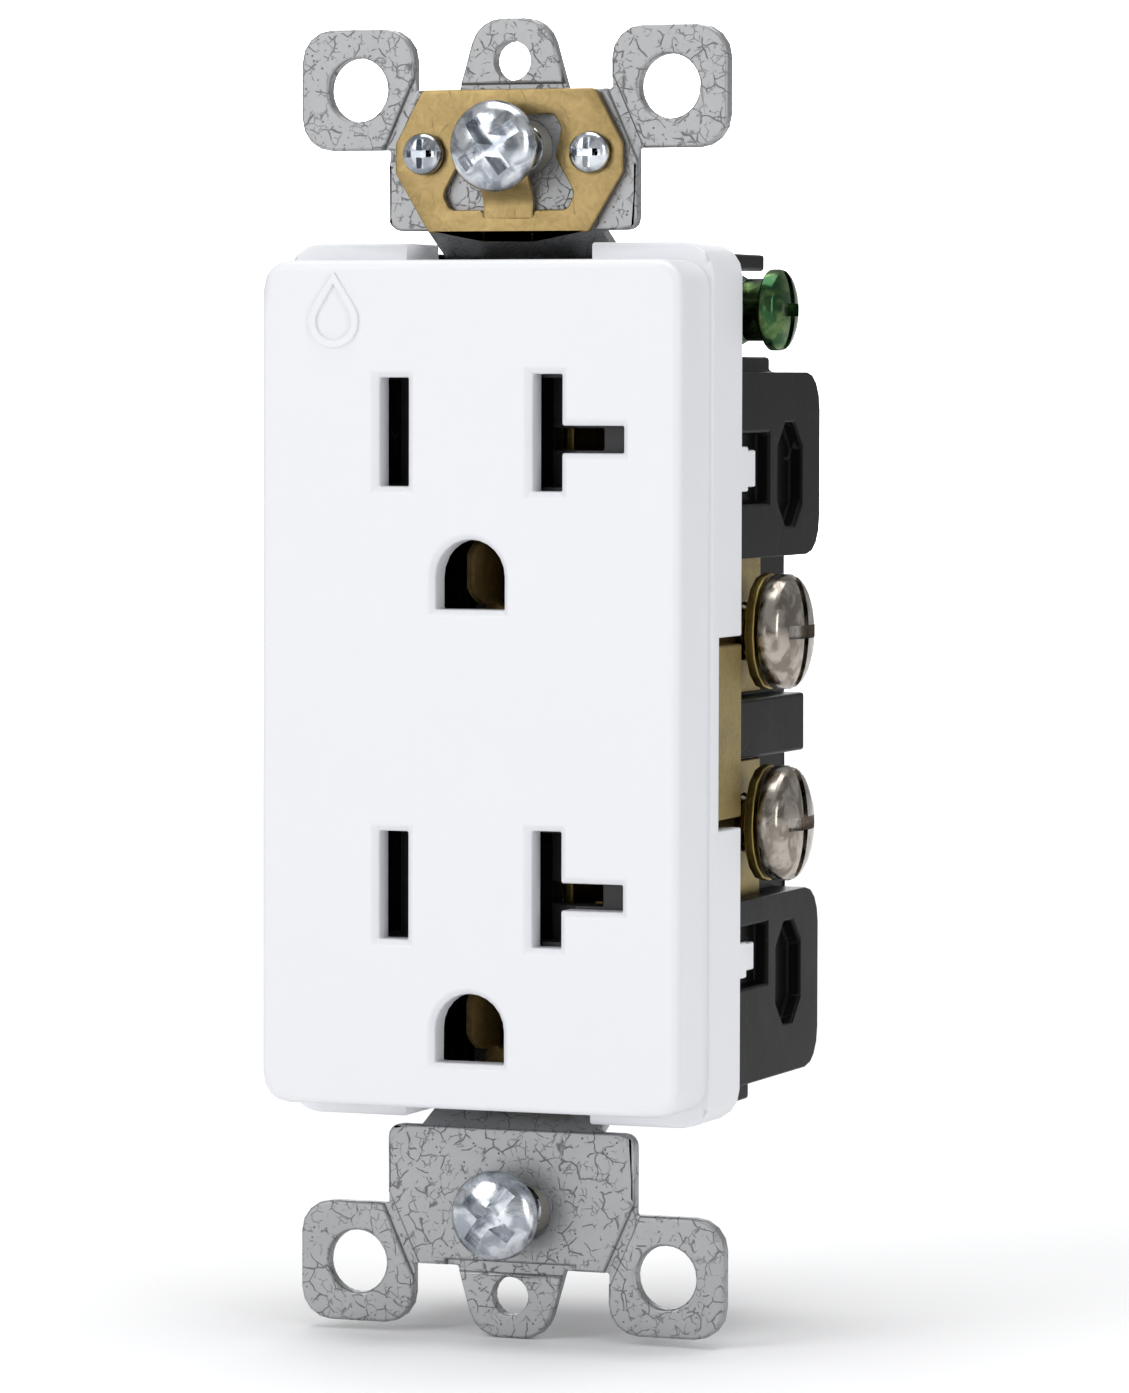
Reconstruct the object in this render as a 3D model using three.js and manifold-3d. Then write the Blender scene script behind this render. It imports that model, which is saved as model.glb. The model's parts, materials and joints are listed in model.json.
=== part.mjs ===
// Duplex wall outlet with a raised rectangular face, tamper-resistant shutters and a metal mounting strap.
//
// Millimetres. +Z is up, the face looks along -Y and +X is to the right of someone facing it.
// Y = 0 is the back of the strap's ears, the plane of the wall. The origin lies in that plane,
// midway between the two mounting screws.

import * as THREE from 'three';
import { mergeVertices } from 'three/addons/utils/BufferGeometryUtils.js';
import Module from 'manifold-3d';

const wasm = await Module();
wasm.setup();

// ---- Driving dimensions ----------------------------------------------------------------------

// Fits.
const gap = 0.3; // between pieces that lie against each other
const turnGap = 0.25; // round a shank that turns or slides in a hole
const past = 1; // how far a cutting tool reaches past the surface it opens

// Face cover: a raised face on a slightly larger flange.
const faceWidth = 34.74;
const faceHeight = 65.64;
const faceProud = 10.4; // from the wall plane to the face
const faceCorner = 2.1;
const faceWall = 2.4;
const flangeStep = 6.4; // from the face back to the flange
const flangeSideLip = 0.35;
const flangeEndLip = 1.4;
const flangeCorner = 2.5;
const coverWall = 1.2;
const coverBack = 2.75;
const strapNotchHalf = 7.75;
const linkNotchFront = -2.4;
const linkNotchMargin = 0.7;

// Outlets: a straight slot, a T slot and a ground hole, twice.
const outletSpacing = 35.1;
const outletMiddle = 2; // height midway between the two outlets' slots
const bladeOffset = 6.35;
const slotWidth = 2.4;
const straightSlotHeight = 8.4;
const teeSlotHeight = 9;
const teeArmEnd = 12.6;
const teeArmHeight = 2.1;
const teeArmDrop = 0.5;
const slotChamfer = 0.5;
const groundDrop = 10.95;
const groundWidth = 5.7;
const groundHeight = 5.4;
const groundChamfer = 0.45;

// Raindrop relief at the corner of the face, the mark of a weather-resistant outlet.
const dropX = -11.2;
const dropZ = 28.1;
const dropRadius = 2.1;
const dropHeight = 5.9;
const dropLine = 0.6;
const dropRelief = 0.25;

// Mounting strap.
const strapGauge = 1.3;
const mountHoleRise = 6.45; // from the plate's inner edge
const mountSlotHalf = 3.3;
const mountSlotHeight = 4.3;
const mountSlotRound = 2.1;
const plateHalf = 10.4;
const plateClear = 1; // from the cover's flange to the plate
const plateHeight = 10.98;
const plateCorner = 1;
const plateShoulder = 8.3;
const earX = 13.04;
const earRise = 11.09;
const earWidth = 9.6;
const earHeight = 9.5;
const earCorner = 2.5;
const earHole = 2.5;
const tabBase = 4.6;
const tabTip = 2.9;
const tabReach = 5.55; // past the plate
const tabHoleReach = 2.22;
const tabHole = 1.55;
const tabRound = 2.6; // at the tip of the tab
const scoreWidth = 0.8;
const scoreDepth = 0.35;
const neckHalf = 7.3;
const coreFront = 3.4;
const coreHalf = 3.4;
const neckRise = 2.45; // height over which the neck steps from the wall plane back to the core
const groundPadHalf = 5;
const coreEndBar = 2; // bar that the neck runs into
const bendFlat = 0.6; // flat run before and after each bend

// Self-grounding clip on the front of the strap's upper plate.
const clipGauge = 0.5;
const clipTopHalf = 7.25;
const clipHalf = 9.5;
const clipSideHigh = 6.78; // heights from the plate's inner edge
const clipSideLow = 4.48;
const clipDrop = 0.17;
const clipLowHalf = 6.7;
const clipCorner = 0.4;
const clipWindow = [ // right half: x, height from the plate's inner edge, corner radius
  [4.9, 1.6, 0.5],
  [5.5, 2.9, 0.8],
  [3.9, 5.7, 0.8],
  [4.4, 7.9, 0.6],
  [3.8, 9, 0.4],
];
const tongueHalf = 2.1;
const clipScrewX = 6.95;
const clipScrewRise = 5.98;
const clipScrewHead = 1.7;
const clipScrewHeadHeight = 1.1;
const clipScrewShank = 0.9;
const clipScrewTail = 0.9; // past the wall plane

// Mounting screws (6-32) and the square washers that keep them in the strap.
const mountShank = 1.75;
const mountHead = 3.55;
const mountHeadHeight = 2;
const mountScrewLength = 19;
const upperStandoff = 3.6; // from the strap's front to the underside of the head
const lowerStandoff = 3;
const washerSide = 7.6;
const washerGauge = 0.8;
const washerCorner = 1;

// Back body.
const bodyInset = 0.4; // from the side of the face
const bodyBack = 23.75;
const bodyCorner = 3;
const recessWall = 3; // depth of the terminal recesses
const blockReach = 5.85; // from a terminal's axis to the block beside it
const blockWall = 0.4; // over the conductor
const blockFoot = 5.3; // from the lower ground hole to the end of the block
const dividerInset = 0.2;
const dividerRoom = 0.65; // between the divider and a clamp plate
const dividerShort = 3.2; // short of the body's back
const headInset = 6.8;
const headShort = 2.8;
const shelfInset = 1.1;
const shelfGauge = 1.3;
const shelfBack = 13.2;
const endInset = 0.72; // from the cover's flange to the shelf and the ledge
const stepInset = 0.7;
const stepHeight = 1.2;
const stepBack = 13.4;
const ledgeInset = 1.7;
const ledgeBack = 11.8;
const gussetGauge = 0.8;
const gussetFoot = 2.5;
const gripFront = 13.45;
const gripBack = 19.3;
const gripRise = 6.5; // from the block's edge to the middle of the grip
const gripHeight = 8.2;
const gripCorner = 1.9;
const gripDepth = 1.2;
const gaugeHalf = 5; // strip-length gauge on the back
const gaugeDepth = 0.6;
const gaugeDrop = 10; // below the middle assembly screw
const gaugeHeight = 3.5;

// Latches: a short tab on the cover's edge with a hook that drops into a window in the body.
const latchUpperRise = 5.3; // from the block's edge to the latch
const latchUpperHeight = 3.5;
const latchLowerDrop = 3.1;
const latchLowerHeight = 2.8;
const latchTabBack = 4.2;
const latchHookBack = 8.3;
const latchDepth = 1.2;
const latchHookGauge = 0.8;
const latchWindowBack = 11.3;
const latchWindowMargin = 1;

// Brass conductors.
const brassGauge = 0.8;
const leafClear = 0.7; // behind the shutter tray
const bladeGrip = 1.7; // opening between two contact leaves
const armFront = 10.6;
const armHalf = 4;
const terminalBack = 14.8;
const terminalFront = 3.5;
const stripFront = 5.5;
const linkTopDrop = 0.75; // below the upper terminal's axis
const linkLowRise = 0.85; // above the lower terminal's axis
const linkJoint = 3;
const linkInset = 0.55; // from the side of the flange

// Terminals: a binding-head screw (8-32) and the plate it presses on the wire.
const terminalCentreZ = -3.8;
const terminalPitch = 15.15;
const terminalY = 10.95;
const terminalShank = 2.08;
const terminalHead = 4.55;
const terminalHeadRoom = 3.7; // from the recess wall to the underside of the head
const terminalHeadHeight = 2.6;
const terminalTailReach = 3; // past the recess wall
const clampTravelIn = 1.2;
const clampGauge = 0.8;
const clampDepth = 8.8;
const clampHeight = 9.2;
const clampCorner = 4.2;

// Ground terminal.
const groundScrewDrop = 3.1; // below the shelf
const groundScrewY = 7.8;
const groundShank = 1.9;
const groundHead = 3.2;
const groundHeadHeight = 1.85;
const groundCollar = 2.45;
const groundCollarHeight = 1.9;
const groundTail = 3.2; // from the tab's outer face to the tip of the screw
const groundTabInset = 0.2; // from the recess wall
const groundTabHalf = 2.8;
const groundTabBack = 12.4;
const groundFootIn = 4.6;
const groundFootHalf = 1.9;
const groundFootRivetX = 6;
const groundWireRoom = 1.5;
const groundWasherRadius = 2.7;

// Ground contacts: a riveted base with two leaves that grip the round pin.
const pinGrip = 4.9;
const contactHalf = 3.6;
const contactReach = 5.2;
const contactLeafHalf = 2.6;
const contactLeafFront = -2.2;
const pinHoleHalf = 2.8;
const pinPocketBack = 15;
const rivetShank = 0.8;
const rivetHead = 1.3;
const rivetHeadHeight = 0.5;
const rivetReach = 4.2;

// Shutters.
const shutterTravel = 2.3;
const shutterWindow = 2;
const shutterHalf = 5;
const shutterClear = 0.4; // behind the face's wall
const shutterGauge = 3;
const shutterEdge = 0.3; // past the end of the T slot
const shutterBorder = 1.25; // outside the straight slot's window
const rampDepth = 2.2;
const trayReach = 6.1;
const trayGauge = 1.7;
const trayEndWall = 0.4;
const trayPostWidth = 1.6;
const trayPostHeight = 1.2;
const springRadius = 1;
const springSeat = 2.8; // from the shutter's end to the spring's seat
const springDrop = 3.8;
const springRoom = 0.15;

// Assembly screws, from the back of the body into bosses in the cover.
const assemblyDrop = 3.6; // below the shelf
const assemblyShank = 1.4;
const assemblyHead = 2.6;
const assemblyHeadHeight = 1.8;
const assemblySunk = 0.6;
const assemblyReach = 7.7; // into the boss
const bossRadius = 2.6;

// Screw recesses.
const recessWidth = 1;
const recessDepth = 0.9;

// ---- Places worked out from the sizes above ----------------------------------------------------

// Depths.
const faceFront = -faceProud;
const flangeFront = faceFront + flangeStep;
const faceInside = faceFront + faceWall;
const shutterFront = faceInside + shutterClear;
const shutterBack = shutterFront + shutterGauge;
const trayBack = shutterBack + gap + trayGauge;
const leafFront = trayBack + leafClear;
const strapFront = -strapGauge;
const coreBack = coreFront + strapGauge;
const contactBack = coreFront - gap;
const contactFront = contactBack - brassGauge;
const bodyFront = coverBack + gap;
const dividerFront = terminalFront + brassGauge + 2 * gap;
const dividerBack = bodyBack - dividerShort;
const headBack = bodyBack - headShort;
const clipBack = strapFront - gap;
const clipFront = clipBack - clipGauge;
const assemblyTip = contactBack - assemblyReach;

// Half widths.
const flangeHalf = faceWidth / 2 + flangeSideLip;
const cavityHalf = faceWidth / 2 - coverWall;
const bodyHalf = faceWidth / 2 - bodyInset;
const innerWall = bodyHalf - recessWall; // wall behind the terminals
const dividerHalf = bodyHalf - dividerInset;
const headHalf = bodyHalf - headInset;
const shelfHalf = bodyHalf - shelfInset;
const stepHalf = bodyHalf - stepInset;
const ledgeHalf = bodyHalf - ledgeInset;
const gussetX = headHalf + gussetGauge;
const linkOuter = flangeHalf - linkInset;
const plateIn = innerWall + gap;
const plateOut = plateIn + brassGauge;
const terminalHeadIn = innerWall + terminalHeadRoom;
const terminalHeadOut = terminalHeadIn + terminalHeadHeight;
const terminalTail = innerWall - terminalTailReach;
const clampOut = terminalHeadIn - gap;
const clampIn = clampOut - clampGauge;
const groundTabOuter = innerWall - groundTabInset;
const groundTabIn = groundTabOuter - brassGauge;
const groundWasherIn = groundTabOuter + groundWireRoom;
const groundWasherOut = groundWasherIn + clampGauge;
const groundCollarIn = groundWasherOut + gap;
const groundHeadIn = groundCollarIn + groundCollarHeight;
const groundHeadOut = groundHeadIn + groundHeadHeight;
const trayHalf = cavityHalf - gap;
const trayEnd = trayHalf - trayEndWall;
const trayPostOut = innerWall - gap;
const trayPostIn = trayPostOut - trayPostWidth;
const shutterRight = teeArmEnd + shutterEdge;
const shutterLeft = -bladeOffset - shutterTravel - shutterWindow / 2 - shutterBorder;
const springSeatX = shutterRight - springSeat;

// Heights.
const flangeTop = faceHeight / 2 + flangeEndLip;
const plateLow = flangeTop + plateClear;
const plateHigh = plateLow + plateHeight;
const mountHoleZ = plateLow + mountHoleRise;
const earZ = plateLow + earRise;
const tabTop = plateHigh + tabReach;
const tabHoleZ = plateHigh + tabHoleReach;
const clipScrewZ = plateLow + clipScrewRise;
const coreEnd = faceHeight / 2;
const slotZ = [outletMiddle + outletSpacing / 2, outletMiddle - outletSpacing / 2];
const groundZ = slotZ.map((z) => z - groundDrop);
const terminalZ = [terminalCentreZ + terminalPitch / 2, terminalCentreZ - terminalPitch / 2];
const linkTop = terminalZ[0] - linkTopDrop;
const linkLow = terminalZ[1] + linkLowRise;
const dividerTop = terminalZ[0] - clampHeight / 2 - dividerRoom;
const dividerLow = terminalZ[1] + clampHeight / 2 + dividerRoom;
const shelfTop = flangeTop - endInset;
const shelfLow = shelfTop - shelfGauge;
const ledgeLow = endInset - flangeTop;
const upperBlockLow = terminalZ[0] + blockReach;
const upperBlockTop = slotZ[0] + armHalf + gap + blockWall;
const lowerBlockTop = terminalZ[1] - blockReach;
const lowerBlockLow = groundZ[1] - blockFoot;
const stepTop = upperBlockTop + stepHeight;
const groundScrewZ = shelfLow - groundScrewDrop;
const latches = [
  [upperBlockLow + latchUpperRise, upperBlockLow + latchUpperRise + latchUpperHeight],
  [lowerBlockTop - latchLowerDrop - latchLowerHeight, lowerBlockTop - latchLowerDrop],
];
const middleScrewZ = (groundZ[0] - contactReach + slotZ[1] + trayReach) / 2;
const assemblyZ = [shelfLow - assemblyDrop, middleScrewZ];

// Lengths of the strap's core: half width, lowest z, highest z.
const coreStretches = [
  [coreHalf, -coreEnd, coreEnd],
  [neckHalf, groundScrewZ - groundFootHalf - gap, coreEnd],
  [groundPadHalf, groundZ[0] - contactReach - gap, groundZ[0] + contactReach + gap],
  [groundPadHalf, -coreEnd, groundZ[1] + contactReach + gap],
];

// ---- Shapes ------------------------------------------------------------------------------------

// A closed solid from a three.js geometry.
function solid(geometry) {
  const bare = geometry.clone();
  bare.deleteAttribute('normal');
  bare.deleteAttribute('uv');
  const merged = mergeVertices(bare);
  return new wasm.Manifold(new wasm.Mesh({
    numProp: 3,
    vertProperties: new Float32Array(merged.attributes.position.array),
    triVerts: new Uint32Array(merged.index.array),
  }));
}

// The two ends of a span on one side of the middle plane, lowest first.
function span(side, near, far) {
  return [side * near, side * far].sort((a, b) => a - b);
}

// A box between two limits on each axis.
function block([x0, x1], [y0, y1], [z0, z1]) {
  const geometry = new THREE.BoxGeometry(x1 - x0, y1 - y0, z1 - z0);
  geometry.translate((x0 + x1) / 2, (y0 + y1) / 2, (z0 + z1) / 2);
  return solid(geometry);
}

// A round bar along Y at (x, z), and one along X at (y, z).
function rodY(radius, [from, to], x, z, sides = 18) {
  const geometry = new THREE.CylinderGeometry(radius, radius, to - from, sides);
  geometry.translate(x, (from + to) / 2, z);
  return solid(geometry);
}

function rodX(radius, [from, to], y, z, sides = 18) {
  const geometry = new THREE.CylinderGeometry(radius, radius, to - from, sides);
  geometry.rotateZ(-Math.PI / 2);
  geometry.translate((from + to) / 2, y, z);
  return solid(geometry);
}

// An outline through corners [a, b, radius]; a corner with a radius is rounded by an arc.
const arcFlats = 4;

function outline(corners) {
  const points = [];
  corners.forEach(([a, b, radius = 0], i) => {
    const corner = new THREE.Vector2(a, b);
    if (radius === 0) {
      points.push(corner);
      return;
    }
    const [beforeA, beforeB] = corners.at(i - 1);
    const [afterA, afterB] = corners[(i + 1) % corners.length];
    const back = new THREE.Vector2(beforeA, beforeB).sub(corner).normalize();
    const on = new THREE.Vector2(afterA, afterB).sub(corner).normalize();
    const half = Math.acos(back.dot(on)) / 2;
    const reach = radius / Math.tan(half);
    const centre = back.clone().add(on).normalize().multiplyScalar(radius / Math.sin(half)).add(corner);
    const start = back.multiplyScalar(reach).add(corner).sub(centre);
    const end = on.multiplyScalar(reach).add(corner).sub(centre);
    const sweep = Math.atan2(start.cross(end), start.dot(end));
    for (let step = 0; step <= arcFlats; step += 1) {
      const spoke = start.clone().rotateAround(new THREE.Vector2(), (sweep * step) / arcFlats);
      points.push(spoke.add(centre));
    }
  });
  return new THREE.Shape(points);
}

// A rectangle with rounded corners about (a, b).
function rounded(width, height, radius, a = 0, b = 0) {
  const [w, h] = [width / 2, height / 2];
  const corners = [[a - w, b - h], [a + w, b - h], [a + w, b + h], [a - w, b + h]];
  return outline(corners.map((corner) => [...corner, radius]));
}

// Extrusions of an outline drawn in X and Z, or in Y and Z, or in X and Y.
function extruded(shape, depth) {
  return new THREE.ExtrudeGeometry(shape, { depth, bevelEnabled: false });
}

function plateXZ(shape, [y0, y1]) {
  const geometry = extruded(shape, y1 - y0);
  geometry.rotateX(Math.PI / 2);
  geometry.translate(0, y1, 0);
  return solid(geometry);
}

function plateYZ(shape, [x0, x1]) {
  const geometry = extruded(shape, x1 - x0);
  geometry.rotateX(Math.PI / 2);
  geometry.rotateZ(Math.PI / 2);
  geometry.translate(x0, 0, 0);
  return solid(geometry);
}

function plateXY(shape, [z0, z1]) {
  const geometry = extruded(shape, z1 - z0);
  geometry.translate(0, 0, z0);
  return solid(geometry);
}

// The countersink of an opening in the face: the outline widened at the face and true below it.
function countersink(shape, chamfer) {
  const geometry = new THREE.ExtrudeGeometry(shape, {
    depth: past,
    bevelThickness: chamfer,
    bevelSize: chamfer,
    bevelSegments: 1,
  });
  geometry.rotateX(Math.PI / 2);
  geometry.translate(0, faceFront, 0);
  return solid(geometry);
}

// A turned piece along an axis: the profile is a list of [radius, position along the axis].
function turned(profile, sides = 18) {
  const points = profile.map(([radius, along]) => new THREE.Vector2(radius, along));
  return new THREE.LatheGeometry(points, sides);
}

// A screw whose head looks along -Y: underside of the head at y, with a domed head and a cross recess.
function screwY({ x, z, y, headRadius, headHeight, shank, length, flip = 1 }) {
  const crown = headHeight * 0.45;
  const geometry = turned([
    [0, -headHeight],
    [headRadius * 0.55, -headHeight * 0.93],
    [headRadius * 0.9, -headHeight + crown],
    [headRadius, -headHeight + crown * 1.5],
    [headRadius, 0],
    [shank, 0],
    [shank, length - shank * 0.5],
    [shank * 0.55, length],
    [0, length],
  ]);
  if (flip < 0) geometry.rotateX(Math.PI);
  geometry.translate(x, y, z);
  const front = y - flip * headHeight;
  const arm = headRadius * 0.62;
  const depth = [front - flip * past, front + flip * recessDepth].sort((a, b) => a - b);
  return solid(geometry)
    .subtract(block([x - arm, x + arm], depth, [z - recessWidth / 2, z + recessWidth / 2]))
    .subtract(block([x - recessWidth / 2, x + recessWidth / 2], depth, [z - arm, z + arm]));
}

// ---- Openings in the face ------------------------------------------------------------------------

function straightSlot(z, room = 0, shift = 0) {
  const x = shift - bladeOffset;
  return outline(box2(x, z, slotWidth / 2 + room, straightSlotHeight / 2 + room));
}

function teeSlot(z, room = 0, shift = 0) {
  const x = shift + bladeOffset;
  const half = slotWidth / 2 + room;
  const tall = teeSlotHeight / 2 + room;
  const arm = teeArmHeight / 2 + room;
  const mid = z - teeArmDrop;
  const end = shift + teeArmEnd + room;
  return outline([
    [x - half, z - tall], [x + half, z - tall], [x + half, mid - arm], [end, mid - arm],
    [end, mid + arm], [x + half, mid + arm], [x + half, z + tall], [x - half, z + tall],
  ]);
}

function box2(a, b, halfA, halfB) {
  return [[a - halfA, b - halfB], [a + halfA, b - halfB], [a + halfA, b + halfB], [a - halfA, b + halfB]];
}

function groundHole(z) {
  const radius = groundWidth / 2;
  const low = z - groundHeight / 2;
  const spring = z + groundHeight / 2 - radius;
  const shape = new THREE.Shape();
  shape.moveTo(-radius, low);
  shape.lineTo(radius, low);
  shape.lineTo(radius, spring);
  for (let step = 1; step <= 12; step += 1) {
    const turn = (step / 12) * Math.PI;
    shape.lineTo(radius * Math.cos(turn), spring + radius * Math.sin(turn));
  }
  return shape;
}

// The raindrop: a circle whose sides rise to a point, as a band of even width.
function dropCurve(radius, height) {
  const points = [];
  const lean = Math.asin(radius / (height - radius));
  for (let step = 0; step <= 14; step += 1) {
    const turn = Math.PI - lean + (step / 14) * (Math.PI + 2 * lean);
    points.push(new THREE.Vector2(dropX + radius * Math.cos(turn), dropZ + radius * Math.sin(turn)));
  }
  points.push(new THREE.Vector2(dropX, dropZ + height - radius));
  return points;
}

function raindrop() {
  const band = new THREE.Shape(dropCurve(dropRadius, dropHeight));
  const inside = dropCurve(dropRadius - dropLine, dropHeight - dropLine * 2.6).reverse();
  band.holes.push(new THREE.Path(inside));
  return plateXZ(band, [faceFront - dropRelief, faceFront + gap]);
}

// ---- Pieces ------------------------------------------------------------------------------------

function faceCover() {
  const cavityReach = faceHeight / 2 - coverWall;
  const contactRoom = contactHalf + gap;
  const contactRoomFront = contactFront - rivetHeadHeight - 2 * gap;
  let flange = plateXZ(rounded(2 * flangeHalf, 2 * flangeTop, flangeCorner), [flangeFront, coverBack]);
  for (const end of [-1, 1]) {
    const notch = span(end, faceHeight / 2, flangeTop + past);
    const through = [flangeFront - past, coverBack + past];
    flange = flange.subtract(block([-strapNotchHalf, strapNotchHalf], through, notch));
  }
  const cavity = [faceInside, coverBack + past];
  let cover = plateXZ(rounded(faceWidth, faceHeight, faceCorner), [faceFront, coverBack])
    .add(flange)
    .subtract(block([-cavityHalf, cavityHalf], cavity, [-cavityReach, cavityReach]));
  for (const end of [-1, 1]) {
    const endWall = span(end, cavityReach - past, faceHeight / 2 + past);
    cover = cover.subtract(block([-contactRoom, contactRoom], [contactRoomFront, coverBack + past], endWall));
  }
  for (const side of [-1, 1]) {
    const through = span(side, cavityHalf - past, flangeHalf + past);
    const linkRoom = [linkLow - linkNotchMargin, linkTop + linkNotchMargin];
    cover = cover.subtract(block(through, [linkNotchFront, coverBack + past], linkRoom));
    for (const latch of latches) {
      const hookIn = bodyHalf - latchDepth + gap;
      const hook = [latch[0] + gap, latch[1] - gap];
      cover = cover
        .add(block(span(side, hookIn, flangeHalf), [coverBack - past, latchTabBack], latch))
        .add(block(span(side, hookIn, hookIn + latchHookGauge), [coverBack, latchHookBack], hook));
    }
  }
  for (const z of assemblyZ) {
    cover = cover
      .add(rodY(bossRadius, [faceInside - gap, contactBack], 0, z))
      .subtract(rodY(assemblyShank + turnGap, [assemblyTip - gap, contactBack + past], 0, z));
  }
  slotZ.forEach((z, i) => {
    const openings = [
      [straightSlot(z), slotChamfer],
      [teeSlot(z), slotChamfer],
      [groundHole(groundZ[i]), groundChamfer],
    ];
    for (const [shape, chamfer] of openings) {
      cover = cover
        .subtract(plateXZ(shape, [faceFront - past, faceInside + past]))
        .subtract(countersink(shape, chamfer));
    }
  });
  return cover.add(raindrop());
}

function strapEnd(end) {
  const flip = (corners) => outline(corners.map(([x, z, radius]) => [x, end * z, radius]));
  const flat = [strapFront, 0];
  const earFoot = earZ - earHeight / 2;
  let plate = plateXZ(flip([
    [-plateHalf, plateLow, plateCorner], [plateHalf, plateLow, plateCorner], [plateHalf, earFoot + gap],
    [plateShoulder, plateHigh], [-plateShoulder, plateHigh], [-plateHalf, earFoot + gap],
  ]), flat);
  plate = plate.add(plateXZ(flip([
    [-tabBase, plateHigh - gap], [tabBase, plateHigh - gap],
    [tabTip, tabTop, tabRound], [-tabTip, tabTop, tabRound],
  ]), flat));
  for (const side of [-1, 1]) {
    const cut = score([side * plateHalf, end * earFoot], [side * plateShoulder, end * plateHigh]);
    plate = plate
      .add(plateXZ(rounded(earWidth, earHeight, earCorner, side * earX, end * earZ), flat))
      .subtract(rodY(earHole, [strapFront - past, past], side * earX, end * earZ, 28))
      .subtract(cut);
  }
  return plate
    .subtract(score([-tabBase, end * plateHigh], [tabBase, end * plateHigh]))
    .subtract(rodY(tabHole, [strapFront - past, past], 0, end * tabHoleZ))
    .subtract(plateXZ(
      rounded(2 * mountSlotHalf, mountSlotHeight, mountSlotRound, 0, end * mountHoleZ),
      [strapFront - past, past],
    ));
}

// A break-off score across the front of the strap from one point to another.
function score(from, to) {
  const length = Math.hypot(to[0] - from[0], to[1] - from[1]) + 2 * scoreWidth;
  const geometry = new THREE.BoxGeometry(length, 2 * scoreDepth, scoreWidth);
  geometry.rotateY(-Math.atan2(to[1] - from[1], to[0] - from[0]));
  geometry.translate((from[0] + to[0]) / 2, strapFront, (from[1] + to[1]) / 2);
  return solid(geometry);
}

// The neck steps back from the wall plane to the core.
function strapNeck(end) {
  const top = coreEnd + neckRise;
  const corners = [
    [strapFront, top], [strapFront, top + 2 * bendFlat], [0, top + 2 * bendFlat], [0, top + bendFlat],
    [coreBack, coreEnd + bendFlat], [coreBack, coreEnd - bendFlat],
    [coreFront, coreEnd - bendFlat], [coreFront, coreEnd],
  ];
  return plateYZ(outline(corners.map(([y, z]) => [y, end * z])), [-neckHalf, neckHalf]);
}

function mountingStrap() {
  let strap = strapEnd(1).add(strapEnd(-1)).add(strapNeck(1)).add(strapNeck(-1));
  for (const [half, low, high] of coreStretches) {
    strap = strap.add(block([-half, half], [coreFront, coreBack], [low, high]));
  }
  for (const end of [-1, 1]) {
    const bar = span(end, coreEnd - coreEndBar, coreEnd);
    strap = strap.add(block([-neckHalf, neckHalf], [coreFront, coreBack], bar));
  }
  const through = [coreFront - past, coreBack + past];
  for (const z of groundZ) {
    strap = strap.subtract(plateXZ(rounded(2 * pinHoleHalf, 2 * pinHoleHalf, 1, 0, z), through));
    for (const end of [-1, 1]) {
      strap = strap.subtract(rodY(rivetShank + turnGap, through, 0, z + end * rivetReach, 12));
    }
  }
  for (const z of assemblyZ) {
    strap = strap.subtract(rodY(assemblyShank + turnGap, through, 0, z));
  }
  strap = strap.subtract(rodY(rivetShank + turnGap, through, groundFootRivetX, groundScrewZ, 12));
  for (const side of [-1, 1]) {
    const hole = [strapFront - past, past];
    strap = strap.subtract(rodY(clipScrewShank + turnGap, hole, side * clipScrewX, clipScrewZ, 12));
  }
  return strap;
}

function groundingClip() {
  const right = [
    [clipLowHalf, -clipDrop, clipCorner], [clipHalf, clipSideLow, clipCorner],
    [clipHalf, clipSideHigh, clipCorner], [clipTopHalf, plateHeight, clipCorner],
  ];
  const mirrored = (half) => {
    const risen = half.map(([x, rise, radius]) => [x, plateLow + rise, radius]);
    return [...risen, ...risen.map(([x, z, radius]) => [-x, z, radius]).reverse()];
  };
  const flat = [clipFront, clipBack];
  const through = [clipFront - past, clipBack + past];
  let clip = plateXZ(outline(mirrored(right)), flat)
    .subtract(plateXZ(outline(mirrored(clipWindow)), through))
    .add(block([-tongueHalf, tongueHalf], flat, [plateLow, mountHoleZ - mountShank / 2]))
    .subtract(rodY(mountShank + turnGap, through, 0, mountHoleZ));
  for (const side of [-1, 1]) {
    clip = clip.subtract(rodY(clipScrewShank + turnGap, through, side * clipScrewX, clipScrewZ, 12));
  }
  return clip;
}

function clipScrew(side) {
  return screwY({
    x: side * clipScrewX,
    z: clipScrewZ,
    y: clipFront - gap,
    headRadius: clipScrewHead,
    headHeight: clipScrewHeadHeight,
    shank: clipScrewShank,
    length: clipScrewTail - clipFront + gap,
  });
}

function mountingScrew(end, standoff) {
  return screwY({
    x: 0,
    z: end * mountHoleZ,
    y: strapFront - standoff,
    headRadius: mountHead,
    headHeight: mountHeadHeight,
    shank: mountShank,
    length: mountScrewLength,
  });
}

function retainingWasher(end) {
  const flat = [gap, gap + washerGauge];
  return plateXZ(rounded(washerSide, washerSide, washerCorner, 0, end * mountHoleZ), flat)
    .subtract(rodY(mountShank + turnGap, [0, flat[1] + past], 0, end * mountHoleZ));
}

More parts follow.
